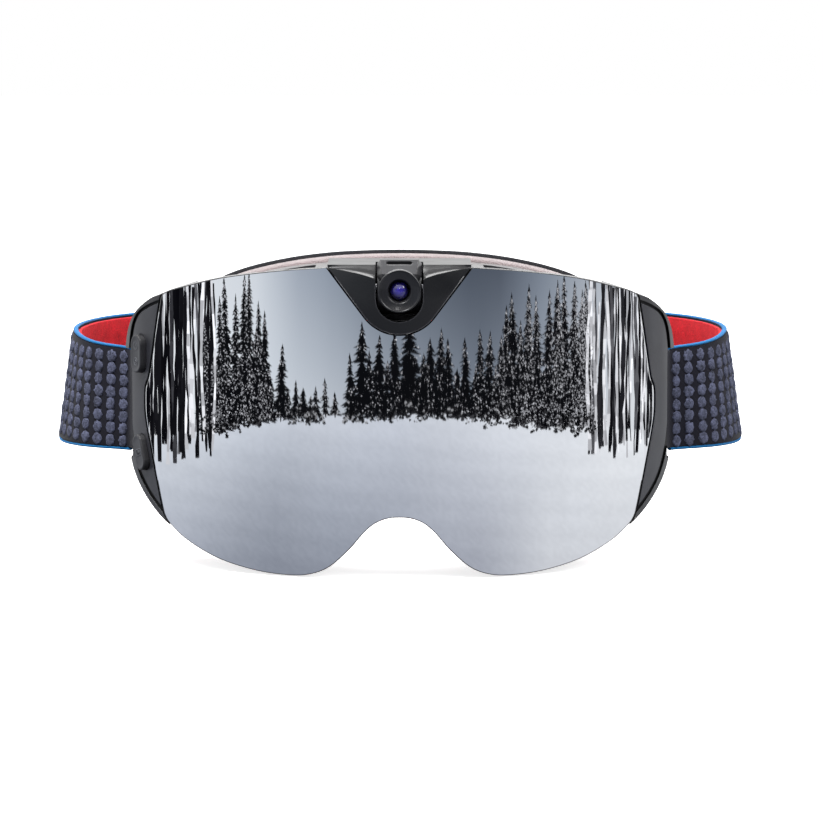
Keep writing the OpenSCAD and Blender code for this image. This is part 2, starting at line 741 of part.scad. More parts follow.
frame();
foam_carrier();
face_foam();
face_fleece();
inner_lens();
inner_lens_gasket();
frame_magnets();
top_vent_foam();
bottom_vent_foam();
camera_cowl();
camera_housing();
camera_housing_cap();
status_light();
camera_flex_cable();
power_flex_cable();
pod_cover_left();
pod_cover_right();
pod_seal_left();
pod_seal_right();
control_board();
tact_switches();
microphone();
battery_pack();
port_board();
usb_socket();
card_socket();
strap_lug_left();
strap_lug_right();
lug_screws();
housing_screws();
strap_band();
strap_lining();
strap_binding();
mirror_lens();
lens_backing_rim();
lens_magnets();
camera_head_shell();
camera_bezel();
lens_tube();
front_lens_element();
rear_lens_element();
sensor_board();
tilt_pins();
power_button();
shutter_button();
port_cover();
strap_slider_left();
strap_slider_right();
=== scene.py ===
"""Ski goggles with a built-in camera: the looks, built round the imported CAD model.

Outlines and radii are in millimetres, as in the CAD source; meshes are made in metres.
"""
import json
import math
import random

import bmesh
import bpy
from mathutils import Matrix, Vector


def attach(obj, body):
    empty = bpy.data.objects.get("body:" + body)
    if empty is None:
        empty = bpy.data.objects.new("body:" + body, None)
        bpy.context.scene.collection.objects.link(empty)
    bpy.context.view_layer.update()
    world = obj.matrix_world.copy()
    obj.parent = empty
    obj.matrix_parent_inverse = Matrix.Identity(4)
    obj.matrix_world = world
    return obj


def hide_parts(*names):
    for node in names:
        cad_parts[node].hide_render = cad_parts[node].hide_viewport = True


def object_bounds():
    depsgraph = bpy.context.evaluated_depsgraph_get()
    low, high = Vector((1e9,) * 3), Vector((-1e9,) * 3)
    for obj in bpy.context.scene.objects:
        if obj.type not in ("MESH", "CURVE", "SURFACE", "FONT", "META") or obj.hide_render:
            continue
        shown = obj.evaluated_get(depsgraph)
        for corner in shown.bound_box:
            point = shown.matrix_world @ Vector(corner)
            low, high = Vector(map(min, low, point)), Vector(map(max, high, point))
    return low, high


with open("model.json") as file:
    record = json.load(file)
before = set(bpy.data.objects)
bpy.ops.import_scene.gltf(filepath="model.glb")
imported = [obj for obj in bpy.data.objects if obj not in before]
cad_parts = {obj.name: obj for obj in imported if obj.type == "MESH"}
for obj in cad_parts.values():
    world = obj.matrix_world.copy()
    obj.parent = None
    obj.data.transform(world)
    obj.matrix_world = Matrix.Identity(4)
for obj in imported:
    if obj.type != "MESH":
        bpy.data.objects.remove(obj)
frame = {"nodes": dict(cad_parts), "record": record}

cad_low, cad_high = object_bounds()
MM = 0.001
scene = bpy.context.scene

# ---------- sizes, as in the CAD source ----------

LENS_AXIS_Y = 52.0
LENS_R = 100.0
LENS_T = 1.6
FACE_AXIS_Y = 92.0
FOAM_R = (105.0, 93.2)
FLEECE_R = (93.16, 92.0)
FOAM_RING_W = 11.0
POD_FRONT_R = 99.4
TILT_Y, TILT_Z = -43.0, 34.7
BEZEL_Y = -57.0
VEE_R, VEE_Z = 13.6, 34.1
VEE_CORNER = (23.2, 42.2)
LENS_GAP = 0.4
WINDOW_HALF, WINDOW_LOW = 7.6, 31.9
DOME_R, DOME_Y = 51.8, -0.4

LENS_HALF = [(0, 42.3), (12, 42.1), (23, 41.4), (39, 40), (57, 37.1), (70.5, 33.2), (75.2, 31.5),
             (77.3, 29.9), (78.1, 26.8), (80, 14.8), (81.4, 5.6), (82, 2.2), (83.1, -1), (83.3, -5.8),
             (83.1, -10.4), (82.2, -16), (80.8, -23), (79.2, -31), (77.7, -38.2), (76.6, -42.2),
             (74.2, -45.3), (68.2, -49.7), (58.2, -54.2), (46, -57), (35.5, -57.8), (28.6, -57.2),
             (22.4, -54.6), (16, -48.8), (11.6, -43.7), (8, -40.5), (4, -38.8), (0, -38.4)]
FOAM_HALF = [(0, 43), (12, 42.7), (23, 41.9), (36, 39.9), (49.5, 36.4), (60, 31.8), (68, 25),
             (72.6, 15), (74, 3), (73.4, -10), (70.6, -22), (65.5, -32.5), (58.5, -40.5), (50, -46.5),
             (41, -49.6), (33, -49.4), (25.5, -46), (19.5, -40.5), (14, -35.2), (8, -32.2), (0, -31)]

BAR_AT = (85.2, 17.0)
TURN_R = 2.9
BAND_T = 1.5
LINING_T = 1.2
STRAP_W, STRAP_END_W = 39.0, 35.0
STRAP_Z, END_Z = -6.0, -7.2
STRAP_LEAN = 2.9
BINDING_H = 1.2
BACK_Y = 138.5
STRAP_TAIL = [(94.3, 27.6), (91.4, 25.2), (88, 22.6), (85, 21), (82.9, 19.4)]
STRAP_SIDE = [(89.5, 20.6), (93.2, 24.2), (98.8, 28.4), (104.2, 34), (108.8, 42), (112, 52.5),
              (113.3, 66), (112.4, 81), (108.6, 96.5), (101.2, 111.5), (89.5, 124.6), (75, 134.2),
              (60, BACK_Y), (45, BACK_Y), (30, BACK_Y), (15, BACK_Y), (0, BACK_Y)]


# ---------- curves ----------

def spline(p, q, r, s, t):
    return tuple(0.5 * (2 * b + (c - a) * t + (2 * a - 5 * b + 4 * c - d) * t * t
                        + (3 * b - 3 * c + d - a) * t ** 3) for a, b, c, d in zip(p, q, r, s))


def closed_curve(points, n):
    m = len(points)
    return [spline(points[i - 1], points[i], points[(i + 1) % m], points[(i + 2) % m], k / n)
            for i in range(m) for k in range(n)]


def open_curve(points, n):
    m = len(points) - 1
    curve = [spline(points[max(i - 1, 0)], points[i], points[i + 1], points[min(i + 2, m)], k / n)
             for i in range(m) for k in range(n)]
    return curve + [points[m]]


def mirrored(half):
    return half + [(-x, z) for x, z in half[-2:0:-1]]


def inset(points, d):
    """Moves each point of a clockwise outline inwards by d."""
    m, moved = len(points), []
    for i in range(m):
        tx, tz = (points[(i + 1) % m][k] - points[i - 1][k] for k in (0, 1))
        size = math.hypot(tx, tz) or 1
        moved.append((points[i][0] + d * tz / size, points[i][1] - d * tx / size))
    return moved


def arc(centre, r, start, end, n):
    """n + 1 points from start to end, in degrees."""
    angles = [math.radians(start + (end - start) * k / n) for k in range(n + 1)]
    return [(centre[0] + r * math.cos(a), centre[1] + r * math.sin(a)) for a in angles]


def on_cylinder(x, r, axis_y):
    return axis_y - math.sqrt(r * r - x * x)


# ---------- meshes ----------

def placed(name, data):
    """A new object in the scene."""
    obj = bpy.data.objects.new(name, data)
    scene.collection.objects.link(obj)
    return obj


def object_from(name, bm, scale=1.0):
    bmesh.ops.scale(bm, vec=(scale,) * 3, verts=bm.verts)
    mesh = bpy.data.meshes.new(name)
    bm.to_mesh(mesh)
    bm.free()
    return placed(name, mesh)


def smoothed(mesh, sharp_above):
    """Smooth shading, apart from edges sharper than an angle in degrees."""
    mesh.polygons.foreach_set("use_smooth", [True] * len(mesh.polygons))
    mesh.set_sharp_from_angle(angle=math.radians(sharp_above))


def finished(name, bm, body, slot, replaces=(), sharp_above=35, weld=True, look=None):
    """Turns a bmesh in millimetres into a piece that rides on a body."""
    if weld:
        bmesh.ops.remove_doubles(bm, verts=bm.verts, dist=1e-4)
    bmesh.ops.recalc_face_normals(bm, faces=bm.faces)
    piece = object_from(name, bm, MM)
    smoothed(piece.data, sharp_above)
    piece.data.materials.append(look or LOOKS[slot])
    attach(piece, body)
    if replaces:
        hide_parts(*replaces)
    return piece


def bridge(bm, a, b):
    """Quads between two closed rings of vertices."""
    n = len(a)
    return [bm.faces.new((a[i], a[(i + 1) % n], b[(i + 1) % n], b[i])) for i in range(n)]


def ring_of(bm, points):
    return [bm.verts.new(p) for p in points]


def flat_solid(bm, outline, profile):
    """A flat plate in X and Z: profile lists (inset, depth along Y) from the front cap to the back cap."""
    rings = [ring_of(bm, [(x, depth, z) for x, z in inset(outline, d)]) for d, depth in profile]
    for a, b in zip(rings, rings[1:]):
        bridge(bm, a, b)
    for ring in (rings[0], rings[-1]):
        edges = [bm.edges.get((ring[i - 1], ring[i])) for i in range(len(ring))]
        bmesh.ops.triangle_fill(bm, edges=edges, use_beauty=True, use_dissolve=False)
    return rings


def slice_across(bm, step, reach):
    """Cuts every face along planes of constant X, so that bending it leaves it smooth."""
    x = -reach
    while x <= reach:
        everything = bm.verts[:] + bm.edges[:] + bm.faces[:]
        bmesh.ops.bisect_plane(bm, geom=everything, plane_co=(x, 0, 0), plane_no=(1, 0, 0))
        x += step


def wrap(bm, r, axis_y):
    """Bends a plate's depth along Y onto a vertical cylinder."""
    for v in bm.verts:
        v.co.y = on_cylinder(v.co.x, r - v.co.y, axis_y)


def swept_ring(bm, outline, section, axis_y):
    """Sweeps a closed section of (inset, radius) points along an outline."""
    m = len(outline)
    lines = [[bm.verts.new((x, on_cylinder(x, r, axis_y), z)) for x, z in inset(outline, d)]
             for d, r in section]
    for a, b in zip(lines, lines[1:] + lines[:1]):
        for i in range(m):
            bm.faces.new((a[i], a[(i + 1) % m], b[(i + 1) % m], b[i]))


def soft_box(d0, d1, r0, r1, n=28, power=0.28):
    """A rounded box as a closed list of (inset, radius)."""
    points = []
    for k in range(n):
        a = 2 * math.pi * k / n
        u, v = (math.copysign(abs(f(a)) ** power, f(a)) for f in (math.cos, math.sin))
        points.append(((d0 + d1) / 2 + (d1 - d0) / 2 * u, (r0 + r1) / 2 + (r0 - r1) / 2 * v))
    return points


def lathe(bm, profile, centre, n=96):
    """Turns a list of (radius, y) about an axis along Y through centre."""
    rings = []
    for r, y in profile:
        if r < 1e-6:
            rings.append([bm.verts.new((centre[0], y, centre[1]))])
        else:
            rings.append(ring_of(bm, [(x, y, z) for x, z in arc(centre, r, 0, 360, n)[:-1]]))
    for a, b in zip(rings, rings[1:]):
        if len(a) == 1 or len(b) == 1:
            tip, ring = (a, b) if len(a) == 1 else (b, a)
            for i in range(n):
                bm.faces.new((tip[0], ring[i], ring[(i + 1) % n]))
        else:
            bridge(bm, a, b)
    return rings


def stadium(r, length, n=12):
    """A clockwise upright stadium outline in X and Z."""
    half = length / 2 - r
    return arc((0, half), r, 180, 0, n) + arc((0, -half), r, 0, -180, n)


# ---------- materials ----------

def linear(r, g, b):
    """A display colour from 0 to 255 as the linear colour that a shader takes."""
    def one(v):
        v /= 255
        return v / 12.92 if v <= 0.04045 else ((v + 0.055) / 1.055) ** 2.4
    return (one(r), one(g), one(b), 1.0)


def shade(colour, share):
    return tuple(min(1.0, c * share) for c in colour[:3]) + (1.0,)


class Nodes:
    """A short way to write the node tree of a new material, or one that is given."""

    def __init__(self, name, tree=None):
        if tree is None:
            self.material = bpy.data.materials.new(name)
            self.material.use_nodes = True
            tree = self.material.node_tree
            self.shader = tree.nodes["Principled BSDF"]
        self.tree = tree

    def add(self, kind, values=None, **settings):
        node = self.tree.nodes.new("ShaderNode" + kind)
        for key, value in settings.items():
            setattr(node, key, value)
        for key, value in (values or {}).items():
            node.inputs[key].default_value = value
        return node

    def link(self, a, b):
        self.tree.links.new(a, b)

    def place(self, kind="Object"):
        return self.add("TexCoord").outputs[kind]

    def noise(self, where, scale, detail=4.0, distortion=0.0):
        node = self.add("TexNoise", {"Scale": scale, "Detail": detail, "Distortion": distortion})
        self.link(where, node.inputs["Vector"])
        return node.outputs["Fac"]

    def ramp(self, value, stops):
        node = self.add("ValToRGB")
        elements = node.color_ramp.elements
        while len(elements) < len(stops):
            elements.new(0.5)
        for element, (position, colour) in zip(elements, stops):
            element.position = position
            element.color = colour
        self.link(value, node.inputs["Fac"])
        return node.outputs["Color"]

    def spread(self, value, low, high):
        node = self.add("MapRange", {"From Min": 0.25, "From Max": 0.75, "To Min": low, "To Max": high})
        self.link(value, node.inputs["Value"])
        return node.outputs["Result"]

    def bump(self, height, distance, strength=1.0, under=None):
        node = self.add("Bump", {"Distance": distance * MM, "Strength": strength})
        self.link(height, node.inputs["Height"])
        if under is not None:
            self.link(under, node.inputs["Normal"])
        return node.outputs["Normal"]

    def rounded_edges(self, radius):
        return self.add("Bevel", {"Radius": radius * MM}, samples=6).outputs["Normal"]

    def math(self, operation, a, b):
        node = self.add("Math", operation=operation)
        for k, value in enumerate((a, b)):
            if isinstance(value, (int, float)):
                node.inputs[k].default_value = value
            else:
                self.link(value, node.inputs[k])
        return node.outputs[0]

    def multiply(self, a, b, share):
        node = self.add("Mix", {"Factor": share}, data_type="RGBA", blend_type="MULTIPLY")
        self.link(a, node.inputs["A"])
        self.link(b, node.inputs["B"])
        return node.outputs["Result"]

    def to_white(self, colour, share):
        node = self.add("Mix", {"B": (1, 1, 1, 1)}, data_type="RGBA")
        self.link(share, node.inputs["Factor"])
        self.link(colour, node.inputs["A"])
        return node.outputs["Result"]

    def set(self, **values):
        for key, value in values.items():
            self.shader.inputs[key.replace("_", " ")].default_value = value


def moulded(name, colour, rough, grain=0.25, depth=0.01, edge=0.3, vary=0.18, **settings):
    """Moulded or painted plastic, metal or rubber: fine grain, soft blotches and rounded edges."""
    n = Nodes(name)
    where = n.place()
    blotch = n.noise(where, 1 / (9 * MM), 3)
    fine = n.noise(where, 1 / (grain * MM), 2)
    tint = n.ramp(blotch, [(0.3, shade(colour, 1 - vary)), (0.7, shade(colour, 1 + vary))])
    n.link(tint, n.shader.inputs["Base Color"])
    n.link(n.spread(blotch, rough * 0.88, min(1.0, rough * 1.12)), n.shader.inputs["Roughness"])
    n.link(n.bump(fine, depth, 0.6, n.rounded_edges(edge)), n.shader.inputs["Normal"])
    n.set(**settings)
    return n.material


def brushed(name, colour, rough, edge=0.12):
    """Plated or brushed metal with fine lines across it."""
    n = Nodes(name)
    stretch = n.add("Mapping", {"Scale": (60, 900, 6000)})
    n.link(n.place(), stretch.inputs["Vector"])
    lines = n.noise(stretch.outputs["Vector"], 1.0, 3)
    tint = n.ramp(lines, [(0.3, shade(colour, 0.85)), (0.7, shade(colour, 1.1))])
    n.link(tint, n.shader.inputs["Base Color"])
    n.link(n.spread(lines, rough * 0.7, rough * 1.3), n.shader.inputs["Roughness"])
    n.link(n.bump(lines, 0.004, 0.5, n.rounded_edges(edge)), n.shader.inputs["Normal"])
    n.set(Metallic=1.0)
    return n.material


def mirror_coat():
    """Silver mirror coat, with a faint ripple in its tint."""
    n = Nodes("mirror_coat")
    cloud = n.noise(n.place(), 1 / (60 * MM), 2)
    tint = n.ramp(cloud, [(0.3, (0.90, 0.92, 0.95, 1)), (0.7, (0.94, 0.95, 0.965, 1))])
    n.link(tint, n.shader.inputs["Base Color"])
    n.link(n.spread(cloud, 0.008, 0.016), n.shader.inputs["Roughness"])
    n.set(Metallic=1.0)
    return n.material


def foam_cells(name, colour, cell, rough=0.95, depth=0.35):
    """Open-cell foam: small round pores darkened as painted shade, and a dusty sheen."""
    n = Nodes(name)
    where = n.place()
    pores = n.add("TexVoronoi", {"Scale": 1 / (cell * MM), "Randomness": 1.0})
    n.link(where, pores.inputs["Vector"])
    blotch = n.noise(where, 1 / (6 * MM), 4)
    # Pores darkened towards their middles: painted shade in the holes.
    dark = n.ramp(pores.outputs["Distance"], [(0.05, shade(colour, 0.45)), (0.45, colour)])
    dusty = n.ramp(blotch, [(0.3, (0.82, 0.82, 0.82, 1)), (0.7, (1, 1, 1, 1))])
    n.link(n.multiply(dark, dusty, 0.8), n.shader.inputs["Base Color"])
    n.link(n.bump(pores.outputs["Distance"], depth, 0.7), n.shader.inputs["Normal"])
    n.set(Roughness=rough, Sheen_Weight=0.25, Sheen_Roughness=0.6)
    return n.material


def pile(name, colour, hair, sheen=0.5, depth=0.3, vary=0.35):
    """Fleece or plush: short hairs as stretched noise, with sheen."""
    n = Nodes(name)
    where = n.place()
    hairs = n.noise(where, 1 / (hair * MM), 6, 1.5)
    tufts = n.noise(where, 1 / (4 * MM), 3)
    both = n.math("ADD", n.math("MULTIPLY", hairs, 0.65), n.math("MULTIPLY", tufts, 0.35))
    tint = n.ramp(both, [(0.32, shade(colour, 1 - vary)), (0.68, shade(colour, 1 + vary))])
    n.link(tint, n.shader.inputs["Base Color"])
    n.link(n.bump(both, depth, 0.8), n.shader.inputs["Normal"])
    n.set(Roughness=0.92, Sheen_Weight=sheen, Sheen_Roughness=0.4, Sheen_Tint=shade(colour, 1.6))
    return n.material


def knitted(name, colour, rib, row, depth=0.12, vary=0.3):
    """Knitted elastic: ribs along the strap and stitches across it, in the piece's own UV metres."""
    n = Nodes(name)
    parts = n.add("SeparateXYZ")
    n.link(n.place("UV"), parts.inputs[0])
    along, up = parts.outputs[0], parts.outputs[1]
    waves = []
    for value, pitch in ((along, row), (up, rib)):
        waves.append(n.math("SINE", n.math("MULTIPLY", value, 2 * math.pi / (pitch * MM)), 0))
    skew = n.math("SINE", n.math("MULTIPLY", n.math("ADD", along, up), 2 * math.pi / (rib * 1.9 * MM)), 0)
    weave = n.math("ADD", n.math("MULTIPLY", waves[0], waves[1]), n.math("MULTIPLY", skew, 0.4))
    height = n.math("ADD", n.math("MULTIPLY", weave, 0.35), 0.5)
    fuzz = n.noise(n.place(), 1 / (0.35 * MM), 4)
    both = n.math("ADD", n.math("MULTIPLY", height, 0.7), n.math("MULTIPLY", fuzz, 0.3))
    tint = n.ramp(both, [(0.25, shade(colour, 1 - vary)), (0.75, shade(colour, 1 + vary))])
    n.link(tint, n.shader.inputs["Base Color"])
    n.link(n.bump(both, depth, 0.9), n.shader.inputs["Normal"])
    n.set(Roughness=0.9, Sheen_Weight=0.08, Sheen_Roughness=0.5, Specular_IOR_Level=0.25)
    return n.material


def clear(name, colour, alpha, rough=0.03):
    """Clear plastic as a thin coat that lets most light through."""
    n = Nodes(name)
    smear = n.noise(n.place(), 1 / (14 * MM), 3)
    n.link(n.ramp(smear, [(0.3, shade(colour, 0.95)), (0.7, colour)]), n.shader.inputs["Base Color"])
    n.link(n.spread(smear, rough, rough * 3), n.shader.inputs["Roughness"])
    n.set(Alpha=alpha, IOR=1.5)
    return n.material


def glass_with_painted_glow(name, centre, edge, axis, reach):
    """Deep coated glass: blue-violet coat colour, bright in the middle as a painted glow and falling to near black at
    the rim as painted shade.
    """
    n = Nodes(name)
    from_axis = n.add("VectorMath", {1: axis}, operation="DISTANCE")
    n.link(n.place(), from_axis.inputs[0])
    cloud = n.noise(n.place(), 1 / (1.4 * MM), 3)
    share = n.math("ADD", n.math("DIVIDE", from_axis.outputs["Value"], reach), n.math("MULTIPLY", cloud, 0.5))
    # Painted glow in the middle, falling to painted shade near black at the rim.
    tint = n.ramp(share, [(0.35, centre), (0.75, shade(centre, 0.45)), (1.15, edge)])
    n.link(tint, n.shader.inputs["Base Color"])
    n.link(n.spread(cloud, 0.02, 0.05), n.shader.inputs["Roughness"])
    n.set(Coat_Weight=1.0, Coat_Roughness=0.015, IOR=1.7)
    return n.material


def solder_mask(name, colour):
    """A circuit board with thin tracks under its lacquer."""
    n = Nodes(name)
    tracks = n.add("TexBrick", {"Scale": 1 / (2.2 * MM), "Mortar Size": 0.03,
                                "Color1": shade(colour, 0.8), "Color2": shade(colour, 1.2),
                                "Mortar": shade(colour, 2.2)})
    n.link(n.place(), tracks.inputs["Vector"])
    n.link(tracks.outputs["Color"], n.shader.inputs["Base Color"])
    n.link(n.bump(tracks.outputs["Fac"], 0.03, 0.5, n.rounded_edges(0.1)), n.shader.inputs["Normal"])
    n.set(Roughness=0.35, Coat_Weight=0.4)
    return n.material


GREY_PAINT = linear(50, 51, 57)
SATIN_BLACK = linear(42, 42, 45)
DEEP_BLACK = linear(24, 24, 26)
COWL_BLACK = linear(17, 17, 19)
NAVY = linear(17, 17, 30)
BEAD = linear(80, 84, 106)
PIPING = linear(18, 104, 162)
PLUSH = linear(206, 26, 38)
FOAM_GREY = linear(146, 132, 132)

LOOKS = {
    "frame": moulded("frame_satin", SATIN_BLACK, 0.34, edge=0.35, Coat_Weight=0.6, Coat_Roughness=0.14),
    "soft_ring": moulded("soft_ring", DEEP_BLACK, 0.62, depth=0.02, edge=0.5),
    "foam": foam_cells("face_foam_cells", FOAM_GREY, 0.55),
    "fleece": pile("face_fleece_pile", linear(38, 38, 42), 0.22),
    "clear_lens": clear("inner_lens_clear", (0.75, 0.8, 0.82, 1), 0.16),
    "black_foam": foam_cells("vent_foam_cells", linear(34, 34, 36), 0.9, depth=0.5),
    "magnet": brushed("magnet_nickel", (0.60, 0.60, 0.62, 1), 0.22),
    "cowl": moulded("cowl_satin", COWL_BLACK, 0.34, edge=0.25, Coat_Weight=0.25, Coat_Roughness=0.18),
    "black_plastic": moulded("black_plastic", linear(30, 30, 33), 0.48, edge=0.2),
    "light_guide": moulded("light_guide", (0.18, 0.6, 0.25, 1), 0.3, edge=0.1, Coat_Weight=0.5),
    "flex": moulded("amber_film", (0.33, 0.16, 0.035, 1), 0.3, grain=0.8, edge=0.05, Coat_Weight=0.6),
    "pod": moulded("pod_paint", GREY_PAINT, 0.33, edge=0.45, Coat_Weight=0.35, Coat_Roughness=0.15),
    "seal": moulded("pod_seal_rubber", linear(10, 10, 11), 0.6, edge=0.15),
    "board": solder_mask("green_board", (0.016, 0.10, 0.045, 1)),
    "plated_steel": brushed("plated_steel", (0.55, 0.55, 0.57, 1), 0.28),
    "battery": moulded("battery_film", (0.05, 0.09, 0.30, 1), 0.3, grain=1.2, depth=0.05, edge=0.5),
    "screw": brushed("screw_steel", (0.36, 0.36, 0.38, 1), 0.3),
    "strap": knitted("strap_knit", NAVY, 0.9, 0.7),
    "lining": pile("strap_plush", PLUSH, 0.6, sheen=0.35, depth=0.5, vary=0.4),
    "binding": knitted("piping_weave", PIPING, 0.5, 0.6, depth=0.06, vary=0.2),
    "mirror_lens": mirror_coat(),
    "black_print": moulded("black_print", linear(12, 12, 14), 0.25, edge=0.1),
    "head": moulded("head_satin", linear(40, 40, 43), 0.3, edge=0.45, Coat_Weight=0.2, Coat_Roughness=0.2),
    "bezel": moulded("bezel_anodised", linear(30, 30, 33), 0.28, edge=0.15, Metallic=0.2, Coat_Weight=0.3,
                     Coat_Roughness=0.1),
    # The front glass: painted glow in its middle and painted shade at its rim.
    "optic": glass_with_painted_glow("front_glass_painted_glow", (0.035, 0.022, 0.36, 1), (0.001, 0.001, 0.012, 1),
                          (0, -0.0555, 0.0347), 0.0042),
    "button": moulded("button_rubber", linear(38, 38, 41), 0.5, edge=0.3),
    "flap": moulded("flap_rubber", linear(40, 40, 43), 0.55, edge=0.3),
    "slider": moulded("slider_plastic", linear(26, 26, 29), 0.42, edge=0.4),
}
BEAD_LOOK = pile("bead_stitching", BEAD, 1.0, sheen=0.08, depth=0.6, vary=0.85)
ICON_LOOK = moulded("icon_print", linear(96, 98, 104), 0.45, edge=0.05)
# Lighter grey for the buttons' outward faces: painted light on their fronts, with the sides left darker as painted
# shade.
CAP_PAINTED_LIGHT_LOOK = moulded("button_cap_painted_light", linear(66, 67, 71), 0.42, edge=0.2)
# Lighter grey than the cowl: a painted highlight along the cowl's window and V edges.
EDGE_HIGHLIGHT_LOOK = moulded("cowl_edge_painted_highlight", linear(64, 64, 68), 0.22, edge=0.05, Coat_Weight=0.5)
INSIDE_LOOK = moulded("lens_inside", linear(18, 18, 21), 0.12, edge=0.05, Coat_Weight=0.5)


def dress_cad_nodes():
    slots = {row["node"]: row["material_slot"] for row in frame["record"]["subparts"]}
    for name, node in frame["nodes"].items():
        node.data.materials.clear()
        node.data.materials.append(LOOKS[slots[name]])
        smoothed(node.data, 30)


# ---------- mirror lens ----------

def lens_outline():
    """The lens's outline, with the V for the camera cut out of its top."""
    border = [p for p in closed_curve(mirrored(LENS_HALF), 4) if p[1] < 0 or abs(p[0]) > VEE_CORNER[0] + 0.4]
    vee = arc((0, VEE_Z), VEE_R + LENS_GAP, -142, -38, 26)
    corner = (VEE_CORNER[0] - 0.1, VEE_CORNER[1] - 0.81)
    return border + [(-corner[0], corner[1])] + vee + [corner]


def make_mirror_lens():
    bm = bmesh.new()
    edge = 0.3
    profile = [(edge, 0), (edge * 0.3, edge * 0.3), (0, edge),
               (0, LENS_T - edge), (edge * 0.3, LENS_T - edge * 0.3), (edge, LENS_T)]
    flat_solid(bm, lens_outline(), profile)
    slice_across(bm, 1.25, 85)
    wrap(bm, LENS_R, LENS_AXIS_Y)
    piece = finished("mirror_lens_shell", bm, "outer_lens", "mirror_lens", ["mirror_lens"])
    piece.data.materials.append(INSIDE_LOOK)
    normals = []
    for v in piece.data.vertices:
        out = Vector((v.co.x, v.co.y - LENS_AXIS_Y * MM, 0))
        is_front = out.length > (LENS_R - 0.02) * MM
        normals.append(out.normalized() if is_front else v.normal.copy())
    piece.data.normals_split_custom_set_from_vertices(normals)
    for face in piece.data.polygons:
        out = face.normal.dot(Vector((face.center.x, face.center.y - LENS_AXIS_Y * MM, 0)).normalized())
        face.material_index = 0 if out > 0.98 else 1


# ---------- face seal ----------

def make_face_seal():
    outline = closed_curve(mirrored(FOAM_HALF), 4)
    bm = bmesh.new()
    swept_ring(bm, outline, soft_box(0, FOAM_RING_W, *FOAM_R), FACE_AXIS_Y)
    foam = finished("face_foam_ring", bm, "goggle", "foam", ["face_foam"], 80)
    bm = bmesh.new()
    swept_ring(bm, outline, soft_box(-1.0, FOAM_RING_W - 0.6, *FLEECE_R, n=20, power=0.4), FACE_AXIS_Y)
    fleece = finished("face_fleece_ring", bm, "goggle", "fleece", ["face_fleece"], 80)


# ---------- camera ----------

def ridge_z(x):
    """Height of the cowl's ridge, from its corners down to the head's sides."""
    share = max(0.0, min(1.0, (abs(x) - 7) / 15.5))
    return 37.4 + 4.1 * share ** 0.55


def vee_low(x):
    """Lower edge of the cowl's V at x."""
    touch = math.radians(-38)
    arc_x, arc_z = VEE_R * math.cos(touch), VEE_Z + VEE_R * math.sin(touch)
    if abs(x) < arc_x:
        return VEE_Z - math.sqrt(VEE_R ** 2 - x * x)
    return arc_z + (VEE_CORNER[1] - arc_z) * (abs(x) - arc_x) / (VEE_CORNER[0] - arc_x)


def dome_at(x, z):
    return DOME_Y - math.sqrt(DOME_R ** 2 - x * x - (z - VEE_Z) ** 2)


def thread(bm, points, r, sides=8):
    """A thin closed bead along points in space."""
    rings = []
    for i, p in enumerate(points):
        a, b = Vector(points[max(i - 1, 0)]), Vector(points[min(i + 1, len(points) - 1)])
        ahead = (b - a).normalized()
        out = ahead.cross(Vector((0, 1, 0))).normalized()
        up = out.cross(ahead)
        rings.append(ring_of(bm, [Vector(p) + out * (r * math.cos(t)) + up * (r * math.sin(t))
                                  for t in (2 * math.pi * k / sides for k in range(sides))]))
    for a, b in zip(rings, rings[1:]):
        bridge(bm, a, b)
    bm.faces.new(rings[0])
    bm.faces.new(rings[-1])


def make_cowl_edges():
    """Thin beads round the window and along the V: glossier than the cowl, and lighter in colour as a painted
    highlight on these edges.
    """
    bm = bmesh.new()
    window = [(-WINDOW_HALF, z) for z in (36.5, 35, 33.5)] + arc((0, WINDOW_LOW), WINDOW_HALF, -180, 0, 40)
    window += [(WINDOW_HALF, z) for z in (33.5, 35, 36.5)]
    thread(bm, [(x, dome_at(x, z) + 0.06, z) for x, z in window], 0.17)
    vee = [(x, vee_low(x) + 0.12) for x in (-20.5 + 41 * k / 70 for k in range(71))]
    thread(bm, [(x, dome_at(x, z) + 0.06, z) for x, z in vee], 0.15)
    finished("camera_cowl_edges", bm, "goggle", "cowl", (), 60, weld=False, look=EDGE_HIGHLIGHT_LOOK)


